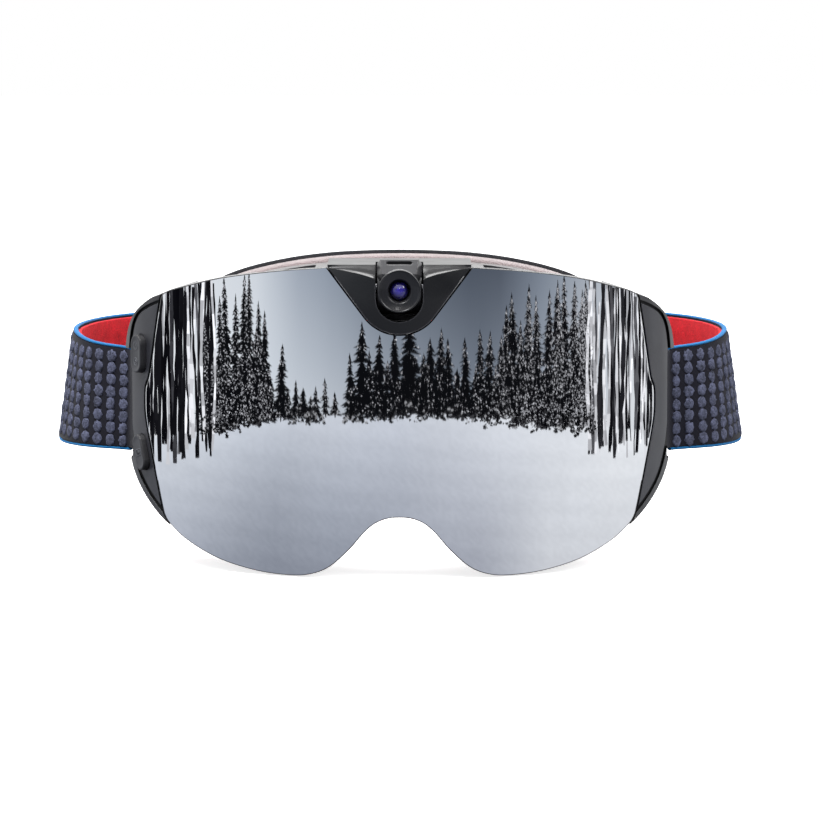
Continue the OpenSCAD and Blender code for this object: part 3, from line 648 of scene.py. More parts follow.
def make_head():
    """Drum, round boss and sloping thumb tab in one, with the slot across the tab."""
    half, drum, soft = 7.1, 8.2, 0.4
    ends = [(0, 0), (drum - soft, 0), (drum - soft * 0.3, soft * 0.3), (drum, soft)]
    profile = [(r, d - half) for r, d in ends] + [(r, half - d) for r, d in ends[::-1]]
    bm = bmesh.new()
    lathe(bm, profile, (0, 0))
    bm.transform(Matrix.Translation((0, TILT_Y, TILT_Z)) @ Matrix.Rotation(math.radians(90), 4, "Z"))
    piece = finished("camera_head_body", bm, "camera_head", "head", ["camera_head_shell"], 30)
    front = BEZEL_Y + 1.42
    bm = bmesh.new()
    lathe(bm, [(0, front), (6.2, front), (6.45, front + 0.1), (6.55, front + 0.35), (6.55, TILT_Y), (0, TILT_Y)],
          (0, TILT_Z))
    combine(piece, bm, "UNION")
    top, low = (-46.5, 44.05), (-53.2, 39.9)
    corners = [(6.05, *top), (5.3, *low), (7.05, -45.2, 42.6), (7.05, -50.2, 39.3), (6.05, -42.2, 43.9),
               (7.05, -40.6, 41.0), (5.3, -52.9, 37.6), (7.05, -48, 36.5), (7.05, -41, 37)]
    bm = bmesh.new()
    for x, y, z in corners:
        for side in (-1, 1):
            bm.verts.new((side * x, y, z))
    bmesh.ops.convex_hull(bm, input=bm.verts)
    combine(piece, bm, "UNION")
    bm = bmesh.new()
    lathe(bm, [(0, -60), (4.95, -60), (4.95, TILT_Y + 1), (0, TILT_Y + 1)], (0, TILT_Z), 64)
    combine(piece, bm, "DIFFERENCE")
    bm = bmesh.new()
    slot = [(z, -x) for x, z in stadium(0.95, 8.4)]
    flat_solid(bm, slot, [(0, -1.5), (0, 1.2)])
    slope = math.atan2(top[1] - low[1], top[0] - low[0])
    bm.transform(Matrix.Translation((0, -48.1, 43.05)) @ Matrix.Rotation(slope - math.pi / 2, 4, "X"))
    combine(piece, bm, "DIFFERENCE")
    bm = bmesh.new()
    bmesh.ops.create_cube(bm, size=1)
    bmesh.ops.scale(bm, vec=(10.8, 4.1, 10.6), verts=bm.verts)
    bmesh.ops.translate(bm, vec=(0, TILT_Y + 1.55, TILT_Z - 0.1), verts=bm.verts)
    combine(piece, bm, "DIFFERENCE")
    piece.data.set_sharp_from_angle(angle=math.radians(28))


def make_cowl():
    """One loft across X: front face with its ridge, flat top plate, and the hollow behind."""
    top, plate_t, wall = 42.4, 1.5, 1.9
    plate_front, plate_back = -46.6, -17.7
    steps = 60
    bm = bmesh.new()
    rings = []
    for k in range(steps + 1):
        x = VEE_CORNER[0] * 0.985 * math.sin(math.pi / 2 * (2 * k / steps - 1))
        low = min(vee_low(x), top - 0.35)
        ridge = max(min(ridge_z(x), top - 0.2), low + 0.02)

        seat = on_cylinder(x, 97.7, LENS_AXIS_Y)
        shares = [0, 0.03] + [s / 12 for s in range(1, 13)]
        face = [(dome_at(x, z), z) for z in (low + (ridge - low) * t for t in shares)]
        rise = []
        for s in range(1, 6):
            t = s / 5
            hollow = 0.5 * math.sin(math.pi * t) * min(1, (top - ridge) / 3)
            start = dome_at(x, ridge)
            rise.append((start + (plate_front - start) * t + hollow, ridge + (top - ridge) * t - hollow))
        under = max(top - plate_t, low + 0.2)
        back = [(plate_back, top), (plate_back, under), (plate_front + wall, under)]
        inner = [(max(seat, dome_at(x, low) + 0.5), low)] if under - low < 1 else [
            (dome_at(x, low + (under - low) * t) + wall, low + (under - low) * t) for t in (0.75, 0.5, 0.25)]
        while len(inner) < 3:
            inner.insert(0, ((plate_front + wall + inner[-1][0]) / 2, (under + inner[-1][1]) / 2))
        inner.append((max(seat, dome_at(x, low) + 0.5), low))
        rings.append(ring_of(bm, [(x, y, z) for y, z in face + rise + back + inner]))
    for a, b in zip(rings, rings[1:]):
        bridge(bm, a, b)
    bm.faces.new(rings[0])
    bm.faces.new(reversed(rings[-1]))
    piece = finished("camera_cowl_shell", bm, "goggle", "cowl", ["camera_cowl"], 28, weld=False)
    cut_window(piece)


def cut_window(piece):
    """The U-shaped window that the camera head looks out of."""
    outline = [(-WINDOW_HALF, 60), (WINDOW_HALF, 60)] + arc((0, WINDOW_LOW), WINDOW_HALF, 0, -180, 40)
    bm = bmesh.new()
    flat_solid(bm, outline, [(0, -70), (0, -33.8)])
    combine(piece, bm, "DIFFERENCE")
    piece.data.set_sharp_from_angle(angle=math.radians(28))


def combine(piece, bm, operation):
    """Adds or cuts away a closed bmesh in millimetres."""
    bmesh.ops.recalc_face_normals(bm, faces=bm.faces)
    other = object_from("other", bm, MM)
    change = piece.modifiers.new("change", "BOOLEAN")
    change.operation, change.object, change.solver = operation, other, "EXACT"
    apply_modifiers(piece)
    bpy.data.objects.remove(other)


def apply_modifiers(piece):
    graph = bpy.context.evaluated_depsgraph_get()
    done = bpy.data.meshes.new_from_object(piece.evaluated_get(graph))
    piece.modifiers.clear()
    piece.data = done


def make_bezel_and_glass():
    centre = (0, TILT_Z)
    y = BEZEL_Y
    bm = bmesh.new()
    lathe(bm, [(3.75, y + 1.3), (3.75, y + 0.5), (3.9, y + 0.36), (4.1, y + 0.3), (6.1, y + 0.22), (6.25, y + 0.14),
               (6.38, y + 0.02), (6.5, y), (6.64, y + 0.06), (6.76, y + 0.24), (6.8, y + 0.5), (6.8, y + 1.2),
               (6.7, y + 1.33), (3.75, y + 1.3)], centre)
    finished("bezel_ring", bm, "camera_head", "bezel", ["camera_bezel"], 50)
    bm = bmesh.new()
    inner = [(3.7, y + 1.45), (3.62, y + 1.8), (3.45, y + 2.0)]
    for k in range(5):
        inner += [(3.4, y + 2.2 + k), (3.3, y + 2.9 + k)]
    back = [(3.3, TILT_Y - 1.1), (4.85, TILT_Y - 1.1), (4.85, y + 1.45), (3.7, y + 1.45)]
    lathe(bm, inner + back, centre, 64)
    finished("lens_barrel", bm, "camera_head", "black_plastic", ["lens_tube"], 30)
    bm = bmesh.new()
    front = [(3.2 * math.sin(a), y + 1.0 + 3.0 * (1 - math.cos(a * 0.9))) for a in
             (k * math.pi / 2 / 14 for k in range(15))]
    lathe(bm, front + [(3.2, y + 3.3), (0, y + 3.3)], centre, 64)
    finished("front_glass_dome", bm, "camera_head", "optic", ["front_lens_element"], 50)


# ---------- buttons ----------

def on_front(angle, z, tilt=0.0):
    """Local -Y points out of the pod's surface there; local Z stays up."""
    return (Matrix.Translation((0, LENS_AXIS_Y, 0)) @ Matrix.Rotation(math.radians(angle), 4, "Z")
            @ Matrix.Translation((0, -POD_FRONT_R, z)) @ Matrix.Rotation(math.radians(-tilt), 4, "Y"))


def raised(bm, outline, base, top, edge):
    """A plate standing out along -Y from base to top, with a rounded edge."""
    flat_solid(bm, outline, [(edge, -top), (edge * 0.3, -top + edge * 0.3), (0, -top + edge), (0, -base)])


def stroke(points, width):
    """The clockwise outline of a line of that width through points."""
    left, right = [], []
    for i, p in enumerate(points):
        a, b = points[max(i - 1, 0)], points[min(i + 1, len(points) - 1)]
        tx, tz = b[0] - a[0], b[1] - a[1]
        size = math.hypot(tx, tz)
        off = (-tz / size * width / 2, tx / size * width / 2)
        left.append((p[0] + off[0], p[1] + off[1]))
        right.append((p[0] - off[0], p[1] - off[1]))
    return left + right[::-1]


def clockwise(outline):
    area = sum(a[0] * b[1] - b[0] * a[1] for a, b in zip(outline, outline[1:] + outline[:1]))
    return outline if area < 0 else outline[::-1]


def icon(bm, strokes, proud):
    for points in strokes:
        raised(bm, clockwise(stroke(points, 0.32)), proud - 0.05, proud + 0.12, 0.03)


def make_buttons():
    flange_y, flange_t, proud = 2.0, 0.8, 2.2
    power_mark = [arc((0, 2.6), 1.25, 125, 415, 24), [(0, 2.5), (0, 4.3)]]
    mode_mark = [arc((0, -2.6), 1.2, 0, 359, 28), [(-0.5, -3.2), (0.6, -2.6), (-0.5, -2.0)]]
    camera_mark = [[(-1.5, -1), (-1.5, 1), (1.5, 1), (1.5, -1), (-1.45, -1)], arc((0, 0), 0.55, 0, 359, 16)]
    for name, node, place, cap, steps, marks in (
            ("power_pill", "power_button", on_front(-58.6, 9.8),
             stadium(3.4, 12.6), [(stadium(3.9, 13.6), -flange_y - flange_t, -flange_y)], power_mark + mode_mark),
            ("shutter_oval", "shutter_button", on_front(-57.8, -22.6, 20),
             stadium(2.9, 12), [(stadium(2.2, 9.6), -flange_y - flange_t, -flange_y)], camera_mark)):
        body = node + "_body"
        bm = bmesh.new()
        rim = [(1.5, -proud + 0.18), (0.9, -proud + 0.1), (0.62, -proud), (0.3, -proud + 0.06),
               (0.09, -proud + 0.24), (0, -proud + 0.5)]
        if node == "power_button":
            flat_solid(bm, cap, rim + [(0, flange_y)])
        else:
            flat_solid(bm, cap, rim + [(0, 0.1)])
            flat_solid(bm, stadium(1.6, 8.4), [(0, 0.09), (0, flange_y + 0.01)])
        for outline, low, high in steps:
            flat_solid(bm, outline, [(0, -high), (0, -low)])
        bm.transform(place)
        piece = finished(name, bm, body, "button", [node], 40, weld=False)
        # Faces that look straight out get the lighter cap look: painted light on the fronts, painted shade on the
        # sides.
        piece.data.materials.append(CAP_PAINTED_LIGHT_LOOK)
        out = -(place.to_3x3() @ Vector((0, 1, 0)))
        for face in piece.data.polygons:
            face.material_index = 1 if face.normal.dot(out) > 0.93 else 0
        bm = bmesh.new()
        icon(bm, marks, proud - 0.19)
        bm.transform(place)
        finished(name + "_marks", bm, body, "button", weld=False, look=ICON_LOOK)


# ---------- strap ----------

def strap_grown(y):
    t = max(0.0, min(1.0, (y - BAR_AT[1]) / 42))
    return t * t * (3 - 2 * t)


def strap_edges(y):
    grown = strap_grown(y)
    middle = END_Z + (STRAP_Z - END_Z) * grown
    half = (STRAP_END_W + (STRAP_W - STRAP_END_W) * grown) / 2 - BINDING_H
    return middle - half, middle + half


def strap_lean_at(y):
    share = max(0.0, min(1.0, (y - BAR_AT[1]) / (BACK_Y - 4 - BAR_AT[1])))
    return 2 * STRAP_LEAN * math.sin(math.pi * share)


class StrapPath:
    """The strap's centre line from one tail to the other, with its arc length."""

    def __init__(self, n=5):
        turn = arc(BAR_AT, TURN_R, 180, 360, 6)
        half = STRAP_TAIL + turn + STRAP_SIDE
        self.points = open_curve(half + [(-x, y) for x, y in half[-2::-1]], n)
        self.leaves_turn = n * (len(STRAP_TAIL) + len(turn))
        self.lengths = [0.0]
        for a, b in zip(self.points, self.points[1:]):
            self.lengths.append(self.lengths[-1] + math.dist(a, b))

    def outward(self, i):
        last = len(self.points) - 1
        a, b = self.points[max(i - 1, 0)], self.points[min(i + 1, last)]
        size = math.dist(a, b)
        return ((b[1] - a[1]) / size, -(b[0] - a[0]) / size)

    def at(self, i, c, z):
        """The point c outside the centre line at height z."""
        x, y = self.points[i]
        nx, ny = self.outward(i)
        c -= strap_lean_at(y) * (z - STRAP_Z) / STRAP_W
        return (x + nx * c, y + ny * c, z)

    def beside(self, s):
        """Index and share of the way to the next point, at arc length s."""
        i = max(k for k in range(len(self.lengths) - 1) if self.lengths[k] <= s)
        return i, (s - self.lengths[i]) / (self.lengths[i + 1] - self.lengths[i])

    def at_length(self, s, c, z):
        i, t = self.beside(s)
        a, b = Vector(self.at(i, c, z)), Vector(self.at(i + 1, c, z))
        return a.lerp(b, t)


def strap_strip(bm, path, first, last, section_at):
    """Lofts section_at(i), a closed list of (c, z), along the path, with UVs of length and height in metres."""
    uv = bm.loops.layers.uv.new("UVMap")
    rings = []
    for i in range(first, last + 1):
        rings.append((i, [(bm.verts.new(path.at(i, c, z)), z) for c, z in section_at(i)]))
    for (i, a), (j, b) in zip(rings, rings[1:]):
        n = len(a)
        for k in range(n):
            corners = [(a[k], i), (a[(k + 1) % n], i), (b[(k + 1) % n], j), (b[k], j)]
            face = bm.faces.new([v for (v, z), m in corners])
            for loop, ((v, z), m) in zip(face.loops, corners):
                loop[uv].uv = (path.lengths[m] * MM, z * MM)
    for i, ring in (rings[0], rings[-1]):
        bm.faces.new([v for v, z in ring])


def rounded_strip(low, high, c0, c1, rows=6, r=0.3):
    """A closed section of (c, z) with softened corners."""
    heights = [low + r + (high - low - 2 * r) * k / rows for k in range(rows + 1)]
    return ([(c0, z) for z in heights] + [(c0 + r * 0.3, high - r * 0.3), (c0 + r, high), (c1 - r, high),
             (c1 - r * 0.3, high - r * 0.3)] + [(c1, z) for z in heights[::-1]]
            + [(c1 - r * 0.3, low + r * 0.3), (c1 - r, low), (c0 + r, low), (c0 + r * 0.3, low + r * 0.3)])


def make_strap():
    path = StrapPath()
    count = len(path.points)
    start, end = path.leaves_turn, count - 1 - path.leaves_turn
    half_t = BAND_T / 2

    bm = bmesh.new()
    strap_strip(bm, path, 0, count - 1,
                lambda i: rounded_strip(*strap_edges(path.points[i][1]), -half_t, half_t))
    finished("strap_elastic", bm, "goggle", "strap", ["strap_band"], 60, weld=False)

    def lined(i):
        low, high = strap_edges(path.points[i][1])
        return rounded_strip(low + 0.3, high - 0.3, -half_t - 0.15 - LINING_T, -half_t - 0.15)
    bm = bmesh.new()
    strap_strip(bm, path, start + 15, end - 15, lined)
    finished("strap_plush_lining", bm, "goggle", "lining", ["strap_lining"], 60, weld=False)

    def tube(edge, sign):
        middle = edge + sign * 0.47
        return [(0.84 * math.cos(a), middle + 0.5 * math.sin(a)) for a in
                (2 * math.pi * k / 14 for k in range(14))]
    for name, which, sign in (("strap_piping_upper", 1, 1), ("strap_piping_lower", 0, -1)):
        bm = bmesh.new()
        strap_strip(bm, path, start, end, lambda i: tube(strap_edges(path.points[i][1])[which], sign))
        replaced = ["strap_binding"] if sign > 0 else []
        finished(name, bm, "goggle", "binding", replaced, 80, weld=False)
    make_beads(path, path.lengths[start], path.lengths[end])


def make_beads(path, first, last):
    """Columns of soft printed beads on the outside of the strap."""
    pitch, rise, across, tall, proud = 5.7, 4.0, 4.5, 4.5, 0.6
    bm = bmesh.new()
    rng = random.Random(7)
    columns = round((last - first) / pitch)
    for k in range(columns):
        s = first + (last - first) * (k + 0.5) / columns
        low, high = strap_edges(path.at_length(s, 0, STRAP_Z).y)
        rows = int((high - low - 0.6) / rise)
        bottom = (low + high) / 2 - (rows - 1) * rise / 2 - 0.3
        for row in range(rows):
            at, up = s + rng.uniform(-0.15, 0.15), bottom + row * rise + rng.uniform(-0.1, 0.1)
            add_bead(bm, path, rng, at, up, across * rng.uniform(0.9, 1.08), tall, proud * rng.uniform(0.8, 1.1))
    finished("strap_beads", bm, "goggle", "strap", (), 80, weld=False, look=BEAD_LOOK)


def add_bead(bm, path, rng, s, z, across, tall, proud):
    """A stitched lump with a ragged outline."""
    base = BAND_T / 2 - 0.05
    sides, rings = 16, []
    ragged = [rng.uniform(0.84, 1.06) - 0.1 * (k % 2) for k in range(sides)]
    for size, height in ((1.0, 0.0), (0.97, 0.4), (0.82, 0.75), (0.5, 0.9), (0.2, 1.0)):
        ring = []
        for k in range(sides):
            a = 2 * math.pi * k / sides
            reach = size * (1 + (ragged[k] - 1) * size)
            lump = base + proud * height * (rng.uniform(0.75, 1.15) if height else 1)
            u, v = reach * math.cos(a), reach * math.sin(a)
            ring.append(bm.verts.new(path.at_length(s + across / 2 * u, lump, z + tall / 2 * v)))
        rings.append(ring)
    for a, b in zip(rings, rings[1:]):
        bridge(bm, a, b)
    bm.faces.new(rings[-1])
    bm.faces.new(rings[0])


# ---------- what the lens mirrors ----------

CAMERA_TARGET = Vector((0, -0.048, 0))
CAMERA_DISTANCE = 1.5
CAMERA_LIFT = math.radians(6)
CAMERA_SHIFT = (0.00385, -0.00429)
SURROUND_R = 1.25


def camera_place():
    back = Vector((0, -math.cos(CAMERA_LIFT), math.sin(CAMERA_LIFT)))
    up = Vector((0, math.sin(CAMERA_LIFT), math.cos(CAMERA_LIFT)))
    right = Vector((1, 0, 0))
    at = CAMERA_TARGET + back * CAMERA_DISTANCE + right * CAMERA_SHIFT[0] + up * CAMERA_SHIFT[1]
    return at, back


def mirrored_at(x, z, r=SURROUND_R):
    """The place on a wide cylinder that is seen in the lens at x, z in millimetres."""
    hit = Vector((x, on_cylinder(x, LENS_R, LENS_AXIS_Y), z)) * MM
    normal = Vector((x, hit.y / MM - LENS_AXIS_Y, 0)).normalized()
    ray = (hit - camera_place()[0]).normalized()
    ray -= 2 * ray.dot(normal) * normal
    a = ray.x ** 2 + ray.y ** 2
    b = hit.x * ray.x + (hit.y - LENS_AXIS_Y * MM) * ray.y
    c = hit.x ** 2 + (hit.y - LENS_AXIS_Y * MM) ** 2 - r * r
    return hit + ray * ((-b + math.sqrt(b * b - a * c)) / a)


def mix(a, b, t):
    return tuple(p + (q - p) * t for p, q in zip(a, b))


def track(stops, x):
    """A colour from a list of (x, colour), straight between its stops."""
    if x <= stops[0][0]:
        return stops[0][1]
    for (x0, a), (x1, b) in zip(stops, stops[1:]):
        if x <= x1:
            return mix(a, b, (x - x0) / (x1 - x0))
    return stops[-1][1]


# Display colours across the lens, at the top and foot of the sky and of the snow
SKY_TOP = [(-80, (236, 238, 240)), (-46, (214, 219, 225)), (-32, (165, 173, 185)), (-20, (142, 151, 164)),
           (0, (100, 109, 121)), (22, (80, 87, 99)), (32, (84, 91, 103)), (46, (126, 135, 148)),
           (70, (196, 201, 208)), (84, (235, 236, 238))]
SKY_LOW = [(-80, (240, 241, 243)), (-46, (225, 231, 237)), (-32, (206, 212, 219)), (-20, (192, 198, 206)),
           (0, (160, 168, 179)), (26, (128, 137, 149)), (46, (166, 173, 184)), (70, (215, 219, 224)),
           (84, (236, 238, 240))]
SNOW_TOP = [(-80, (226, 230, 236)), (-40, (212, 217, 226)), (0, (212, 216, 225)), (30, (228, 231, 237)),
            (84, (240, 242, 245))]
SNOW_LOW = [(-80, (176, 181, 192)), (-40, (136, 141, 153)), (0, (154, 159, 171)), (26, (168, 171, 181)),
            (48, (208, 210, 215)), (84, (220, 222, 226))]
HORIZON_Z = -4.4
SKY_TOP_Z, SNOW_LOW_Z = 42.0, -58.0


def land_z(x):
    """Height in the lens where the snow begins."""
    return HORIZON_Z - 0.6 * math.sin((x + 30) / 9) - 4.3 * (abs(x) / 50) ** 2.18


def backdrop_colour(x, z, rng):
    edge = land_z(x)
    if z >= edge:
        share = min(1.0, (z - edge) / (SKY_TOP_Z - edge))
        shade_of = mix(track(SKY_LOW, x), track(SKY_TOP, x), share)
    else:
        share = min(1.0, (edge - z) / (edge - SNOW_LOW_Z))
        drift = 3 * math.sin(x / 9 + z / 3) * math.sin(z / 2.3 - x / 25) + rng.uniform(-3, 3)
        shade_of = [v + drift for v in mix(track(SNOW_TOP, x), track(SNOW_LOW, x), share ** 0.8)]
    return linear(*shade_of)


def glow(name):
    """An emitter that takes its colour from the mesh, with a fine mottle."""
    n = Nodes(name)
    tint = n.add("VertexColor", layer_name="tint").outputs["Color"]
    mottle = n.noise(n.place(), 6, 2)
    paler = n.ramp(mottle, [(0.3, (0.985, 0.985, 0.985, 1)), (0.7, (1.0, 1.0, 1.0, 1))])
    n.link(n.multiply(tint, paler, 1.0), n.shader.inputs["Emission Color"])
    n.set(Emission_Strength=1.0, Base_Color=(0, 0, 0, 1), Specular_IOR_Level=0.0)
    return n.material


def only_in_reflections(obj):
    obj.visible_camera = obj.visible_diffuse = obj.visible_shadow = False
    obj.visible_transmission = obj.visible_volume_scatter = False


def tinted_mesh(name, verts, faces, colours, material):
    mesh = bpy.data.meshes.new(name)
    mesh.from_pydata(verts, [], faces)
    tint = mesh.color_attributes.new("tint", "FLOAT_COLOR", "POINT")
    tint.data.foreach_set("color", [c for colour in colours for c in colour])
    mesh.materials.append(material)
    only_in_reflections(placed(name, mesh))


def coloured_shapes(name, polygons, material):
    """A mesh from a list of (corner points, colour)."""
    verts, faces, colours = [], [], []
    for corners, colour in polygons:
        faces.append(range(len(verts), len(verts) + len(corners)))
        verts += [tuple(corner) for corner in corners]
        colours += [colour] * len(corners)
    tinted_mesh(name, verts, faces, colours, material)


def smooth_grid(name, material, rng):
    """Sky and snow as one curved sheet, wider and taller than the lens shows from the front."""
    xs = [-97 + 1.0 * k for k in range(195)]
    above, seen_in_front, below = range(300, 99, -10), range(90, -90, -1), range(-100, -1000, -10)
    zs = [float(z) for rows in (above, seen_in_front, below) for z in rows]
    verts = [tuple(mirrored_at(x, z)) for z in zs for x in xs]
    n = len(xs)
    faces = [(r * n + c, r * n + c + 1, (r + 1) * n + c + 1, (r + 1) * n + c)
             for r in range(len(zs) - 1) for c in range(n - 1)]
    tinted_mesh(name, verts, faces, [backdrop_colour(x, z, rng) for z in zs for x in xs], material)


def fir(rng, x, base, top, width, snow):
    """A conifer as drooping tiers of needles, with snow on them."""
    tall = top - base
    lean = rng.uniform(-0.03, 0.03) * tall
    shapes = []
    dark = linear(13, 14, 17)

    def put(points, colour, nearer):
        shapes.append(([mirrored_at(px, pz, SURROUND_R - nearer) for px, pz in points], colour))
    put([(x - 0.2, base - 0.7), (x + 0.2, base - 0.7), (x + lean + 0.1, top), (x + lean - 0.1, top)], dark, 0.02)
    tiers = max(8, int(tall / 0.75))
    for k in range(tiers):
        share = (k + rng.uniform(0, 0.6)) / tiers
        z = base + tall * (0.03 + 0.95 * share)
        reach = width / 2 * (1 - share) ** 0.75 * rng.uniform(0.6, 1.25) + 0.22
        cx = x + lean * share
        drop = reach * rng.uniform(0.15, 0.55) + 0.15
        thick = tall / tiers * rng.uniform(1.0, 1.9)
        for side in (-1, 1):
            r = reach * rng.uniform(0.6, 1.2)
            put([(cx, z + thick), (cx + side * r * 0.5, z - drop * 0.3 + thick * 0.35), (cx + side * r, z - drop),
                 (cx + side * r * 0.5, z - drop * 0.85), (cx, z - drop * 0.5)], dark, 0.02 + 0.001 * side)
    for _ in range(int(tall * width * 0.5 * snow)):
        share = rng.random() ** 1.2
        z = base + tall * share * 0.95
        cx = x + lean * share + rng.uniform(-1, 1) * width / 2 * (1 - share) ** 0.8
        w, h = rng.uniform(0.1, 0.34), rng.uniform(0.08, 0.26)
        light = rng.uniform(130, 235)
        tip = rng.uniform(-0.3, 0.3)
        clump = [(cx - w, z), (cx + tip, z + h), (cx + w, z - h * 0.4), (cx, z - h)]
        put(clump, linear(light, light, light + 5), 0.04)
    return shapes


def bush(rng, x, z, reach, tall):
    """A low shrub as a heap of small ragged leaves."""
    shapes = []
    for _ in range(90):
        angle, share = rng.uniform(-0.3, math.pi + 0.3), rng.random() ** 0.6
        at = (x + reach * share * math.cos(angle), z + tall * share * max(-0.25, math.sin(angle)))
        tone = rng.choice((8, 10, 12, 15, 18, 24, 60, 150))
        size, turn = rng.uniform(0.2, 0.75), rng.uniform(0, 6)
        leaf = [(at[0] + size * rng.uniform(0.4, 1.2) * math.cos(turn + k * 1.26),
                 at[1] + size * rng.uniform(0.4, 1.2) * math.sin(turn + k * 1.26)) for k in range(5)]
        shapes.append(([mirrored_at(px, pz, SURROUND_R - 0.05) for px, pz in leaf], linear(tone, tone, tone + 3)))
    return shapes


def streak(rng, x, bottom, top, width, level):
    """A tall stripe, as trunks look where the lens turns away."""
    shapes, steps = [], 14
    edges = []
    phase, pull = rng.uniform(0, 6), rng.uniform(0.2, 0.7)
    for k in range(steps + 1):
        z = bottom + (top - bottom) * k / steps
        sway = pull * math.sin(phase + z / 11) + rng.uniform(-0.12, 0.12)
        w = width * rng.uniform(0.55, 1.25) / 2
        edges.append((x + sway - w, x + sway + w, z))
    nearer = rng.uniform(0.03, 0.05)
    for (a, b, z0), (c, d, z1) in zip(edges, edges[1:]):
        tone = max(8, level * rng.uniform(0.75, 1.15))
        corners = [mirrored_at(px, pz, SURROUND_R - nearer) for px, pz in ((a, z0), (b, z0), (d, z1), (c, z1))]
        shapes.append((corners, linear(tone, tone, tone + 4)))
    return shapes


# Position across, top, width and snow of each tree, in lens millimetres
TREES = [(-62, 24, 7, 1.6), (-60, 12, 8, 1.4), (-57, 31, 6, 1.2), (-55, 38, 6, 1.0), (-52.5, 32, 6.5, 1.0),
         (-50, 39, 6, 0.8), (-48.2, 40, 5.6, 0.7), (-46.5, 22, 7, 0.8), (-44.8, 30, 6.4, 0.7), (-43.2, 27, 5, 0.7),
         (-42, 10, 6, 0.7), (-38, 16.5, 6.2, 0.5), (-35.5, 2, 3.4, 0.6), (-33, 5, 4, 0.6), (-30.5, 2.5, 4.4, 0.6),
         (-28.4, 0, 4, 0.8), (-26.5, 3, 3.6, 1.2), (-23.5, 6, 3, 1.6), (-20.5, 1, 3, 1.4), (-15.5, 14, 5, 0.3),
         (-12, 24, 8.2, 0.25), (-9.4, 15, 6, 0.3), (-6.8, 20, 8.6, 0.3), (-4, 12, 6, 0.3), (-1.5, 22, 7, 0.25),
         (3.5, 26, 13, 0.22), (7.5, 14, 7, 0.3), (10, 19, 8.5, 0.3), (12.9, 22, 7, 0.3), (15.5, 18.5, 6.6, 0.4),
         (18.4, 9, 6, 0.5), (21, 19, 6.6, 0.5), (24, 10, 5, 0.6), (26, 21.5, 5.4, 0.6), (28.2, 21, 6, 0.7),
         (30.5, 10, 5, 0.8), (32, 19.5, 5.4, 0.9), (34, 29, 6.6, 0.7), (36.5, 33, 7.6, 0.8), (38.6, 24, 6, 0.9),
         (40.5, 35.5, 6.8, 0.8), (42.4, 28, 6, 0.9), (44, 32, 6.6, 1.0), (47.5, 33.5, 6.8, 0.9), (50, 36.5, 6.8, 0.9),
         (51.5, 30, 6, 1.0), (53, 38.5, 7.2, 1.0), (56, 36, 7, 1.4), (58.5, 33, 7, 2.0), (61, 36, 7, 2.2)]
# Position across, reach and height of each bush
BUSHES = [(-60, 5, 6), (-54, 3, 4), (-47, 3, 4), (-32, 3.4, 5), (-27, 3, 4), (-14, 4, 3), (-6, 4, 3.4),
          (1.6, 5, 6.5), (10, 3.6, 5), (17, 3.6, 3.4), (25, 4, 4), (32, 5.6, 7.5), (38, 3, 4), (46, 4.4, 6.5),
          (53, 3.4, 5), (60, 4, 6)]
# Inner and outer reach across and usual tones of the stretched stripes, per side
STRIPES = [(-1, 60, 72, (16, 20, 30, 120, 235, 245)), (-1, 71, 87, (10, 12, 16, 26, 60, 190)),
           (1, 61, 73, (18, 24, 40, 90, 215, 240)), (1, 72, 87, (14, 20, 90, 215, 240, 245))]


def make_surroundings():
    """Only the lens and other glossy faces see this snowy clearing."""
    rng = random.Random(21)
    plain, printed = glow("sky_and_snow_glow"), glow("trees_glow")
    smooth_grid("sky_and_snow", plain, rng)
    shapes = []
    for side, inner, outer, tones in STRIPES:
        x = inner
        while x < outer:
            low = land_z(side * x) - rng.uniform(-2, 10)
            shapes += streak(rng, side * x, low, rng.uniform(24, 60), rng.uniform(0.3, 1.5), rng.choice(tones))
            x += rng.uniform(0.25, 0.8)
    for x, top, width, snow in TREES:
        shapes += fir(rng, x, land_z(x) - rng.uniform(0, 1.5), top, width * 1.25, snow)
    for x, reach, tall in BUSHES:
        shapes += bush(rng, x, land_z(x) - 2.2, reach, tall)
    coloured_shapes("fir_trees", shapes, printed)


# ---------- studio ----------

def make_floor():
    size = 4.0
    bm = bmesh.new()
    bmesh.ops.create_grid(bm, x_segments=8, y_segments=8, size=size)
    floor = object_from("floor", bm)
    floor.location.z = cad_low.z - 0.0005
    n = Nodes("pale_floor")
    n.set(Base_Color=(0.92, 0.92, 0.92, 1), Roughness=1.0, Specular_IOR_Level=0.0,
          Emission_Color=(1, 1, 1, 1), Emission_Strength=0.75)
    floor.data.materials.append(n.material)
    floor.visible_glossy = floor.visible_diffuse = False


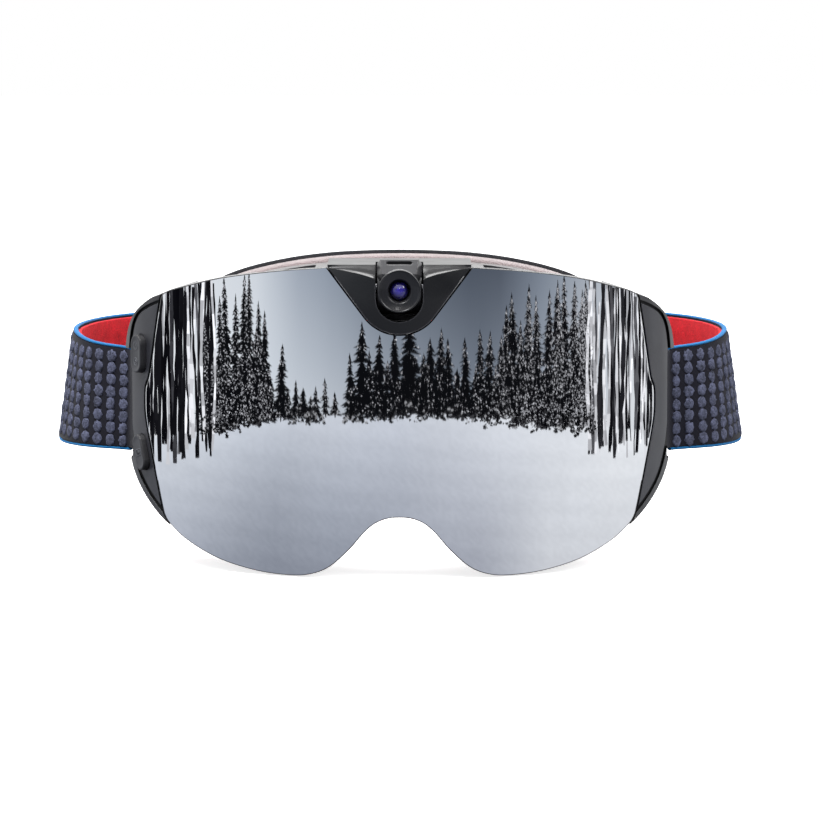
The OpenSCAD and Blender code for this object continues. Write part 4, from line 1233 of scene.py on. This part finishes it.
def area_light(name, at, aim, size, power):
    data = bpy.data.lights.new(name, "AREA")
    data.shape = "RECTANGLE"
    data.size, data.size_y = size
    data.energy = power
    light = placed(name, data)
    light.location = at
    light.rotation_mode = "QUATERNION"
    light.rotation_quaternion = (Vector(aim) - Vector(at)).to_track_quat("-Z", "Y")


def make_lights():
    area_light("key", (-0.45, -0.35, 1.1), (0, 0, 0), (0.7, 0.5), 16)
    area_light("fill", (0.8, -0.5, 0.8), (0, 0, 0), (0.6, 0.6), 7)
    area_light("back", (0.0, 0.9, 0.9), (0, 0.04, 0), (1.2, 0.4), 10)
    area_light("catch", (0.06, -1.2, 0.5), (0, 0, 0.03), (0.09, 0.09), 0.25)
    world = bpy.data.worlds.new("studio")
    world.use_nodes = True
    scene.world = world
    n = Nodes("studio", world.node_tree)
    parts = n.add("SeparateXYZ")
    n.link(n.place("Generated"), parts.inputs[0])
    height = n.add("Math", {1: 0.5, 2: 0.5}, operation="MULTIPLY_ADD")
    n.link(parts.outputs["Z"], height.inputs[0])
    by_height = n.ramp(height.outputs[0], [(0.42, (0.10, 0.10, 0.11, 1)), (0.75, (1.0, 1.0, 1.02, 1))])
    behind = n.add("MapRange", {"From Min": 0.15, "From Max": 0.8})
    n.link(parts.outputs["Y"], behind.inputs["Value"])
    studio = n.to_white(by_height, behind.outputs["Result"])
    seen = n.to_white(studio, n.add("LightPath").outputs["Is Camera Ray"])
    n.link(seen, n.tree.nodes["Background"].inputs["Color"])


def make_camera():
    data = bpy.data.cameras.new("camera")
    data.lens, data.sensor_width = 206.3, 36
    camera = placed("camera", data)
    at, back = camera_place()
    camera.location = at
    camera.rotation_mode = "QUATERNION"
    camera.rotation_quaternion = (-back).to_track_quat("-Z", "Y")
    data.clip_start, data.clip_end = 0.05, 20
    scene.camera = camera


scene.view_settings.view_transform = "Standard"
make_camera()
dress_cad_nodes()
make_mirror_lens()
make_face_seal()
make_cowl()
make_cowl_edges()
make_head()
make_bezel_and_glass()
make_buttons()
make_strap()
make_surroundings()
make_floor()
make_lights()
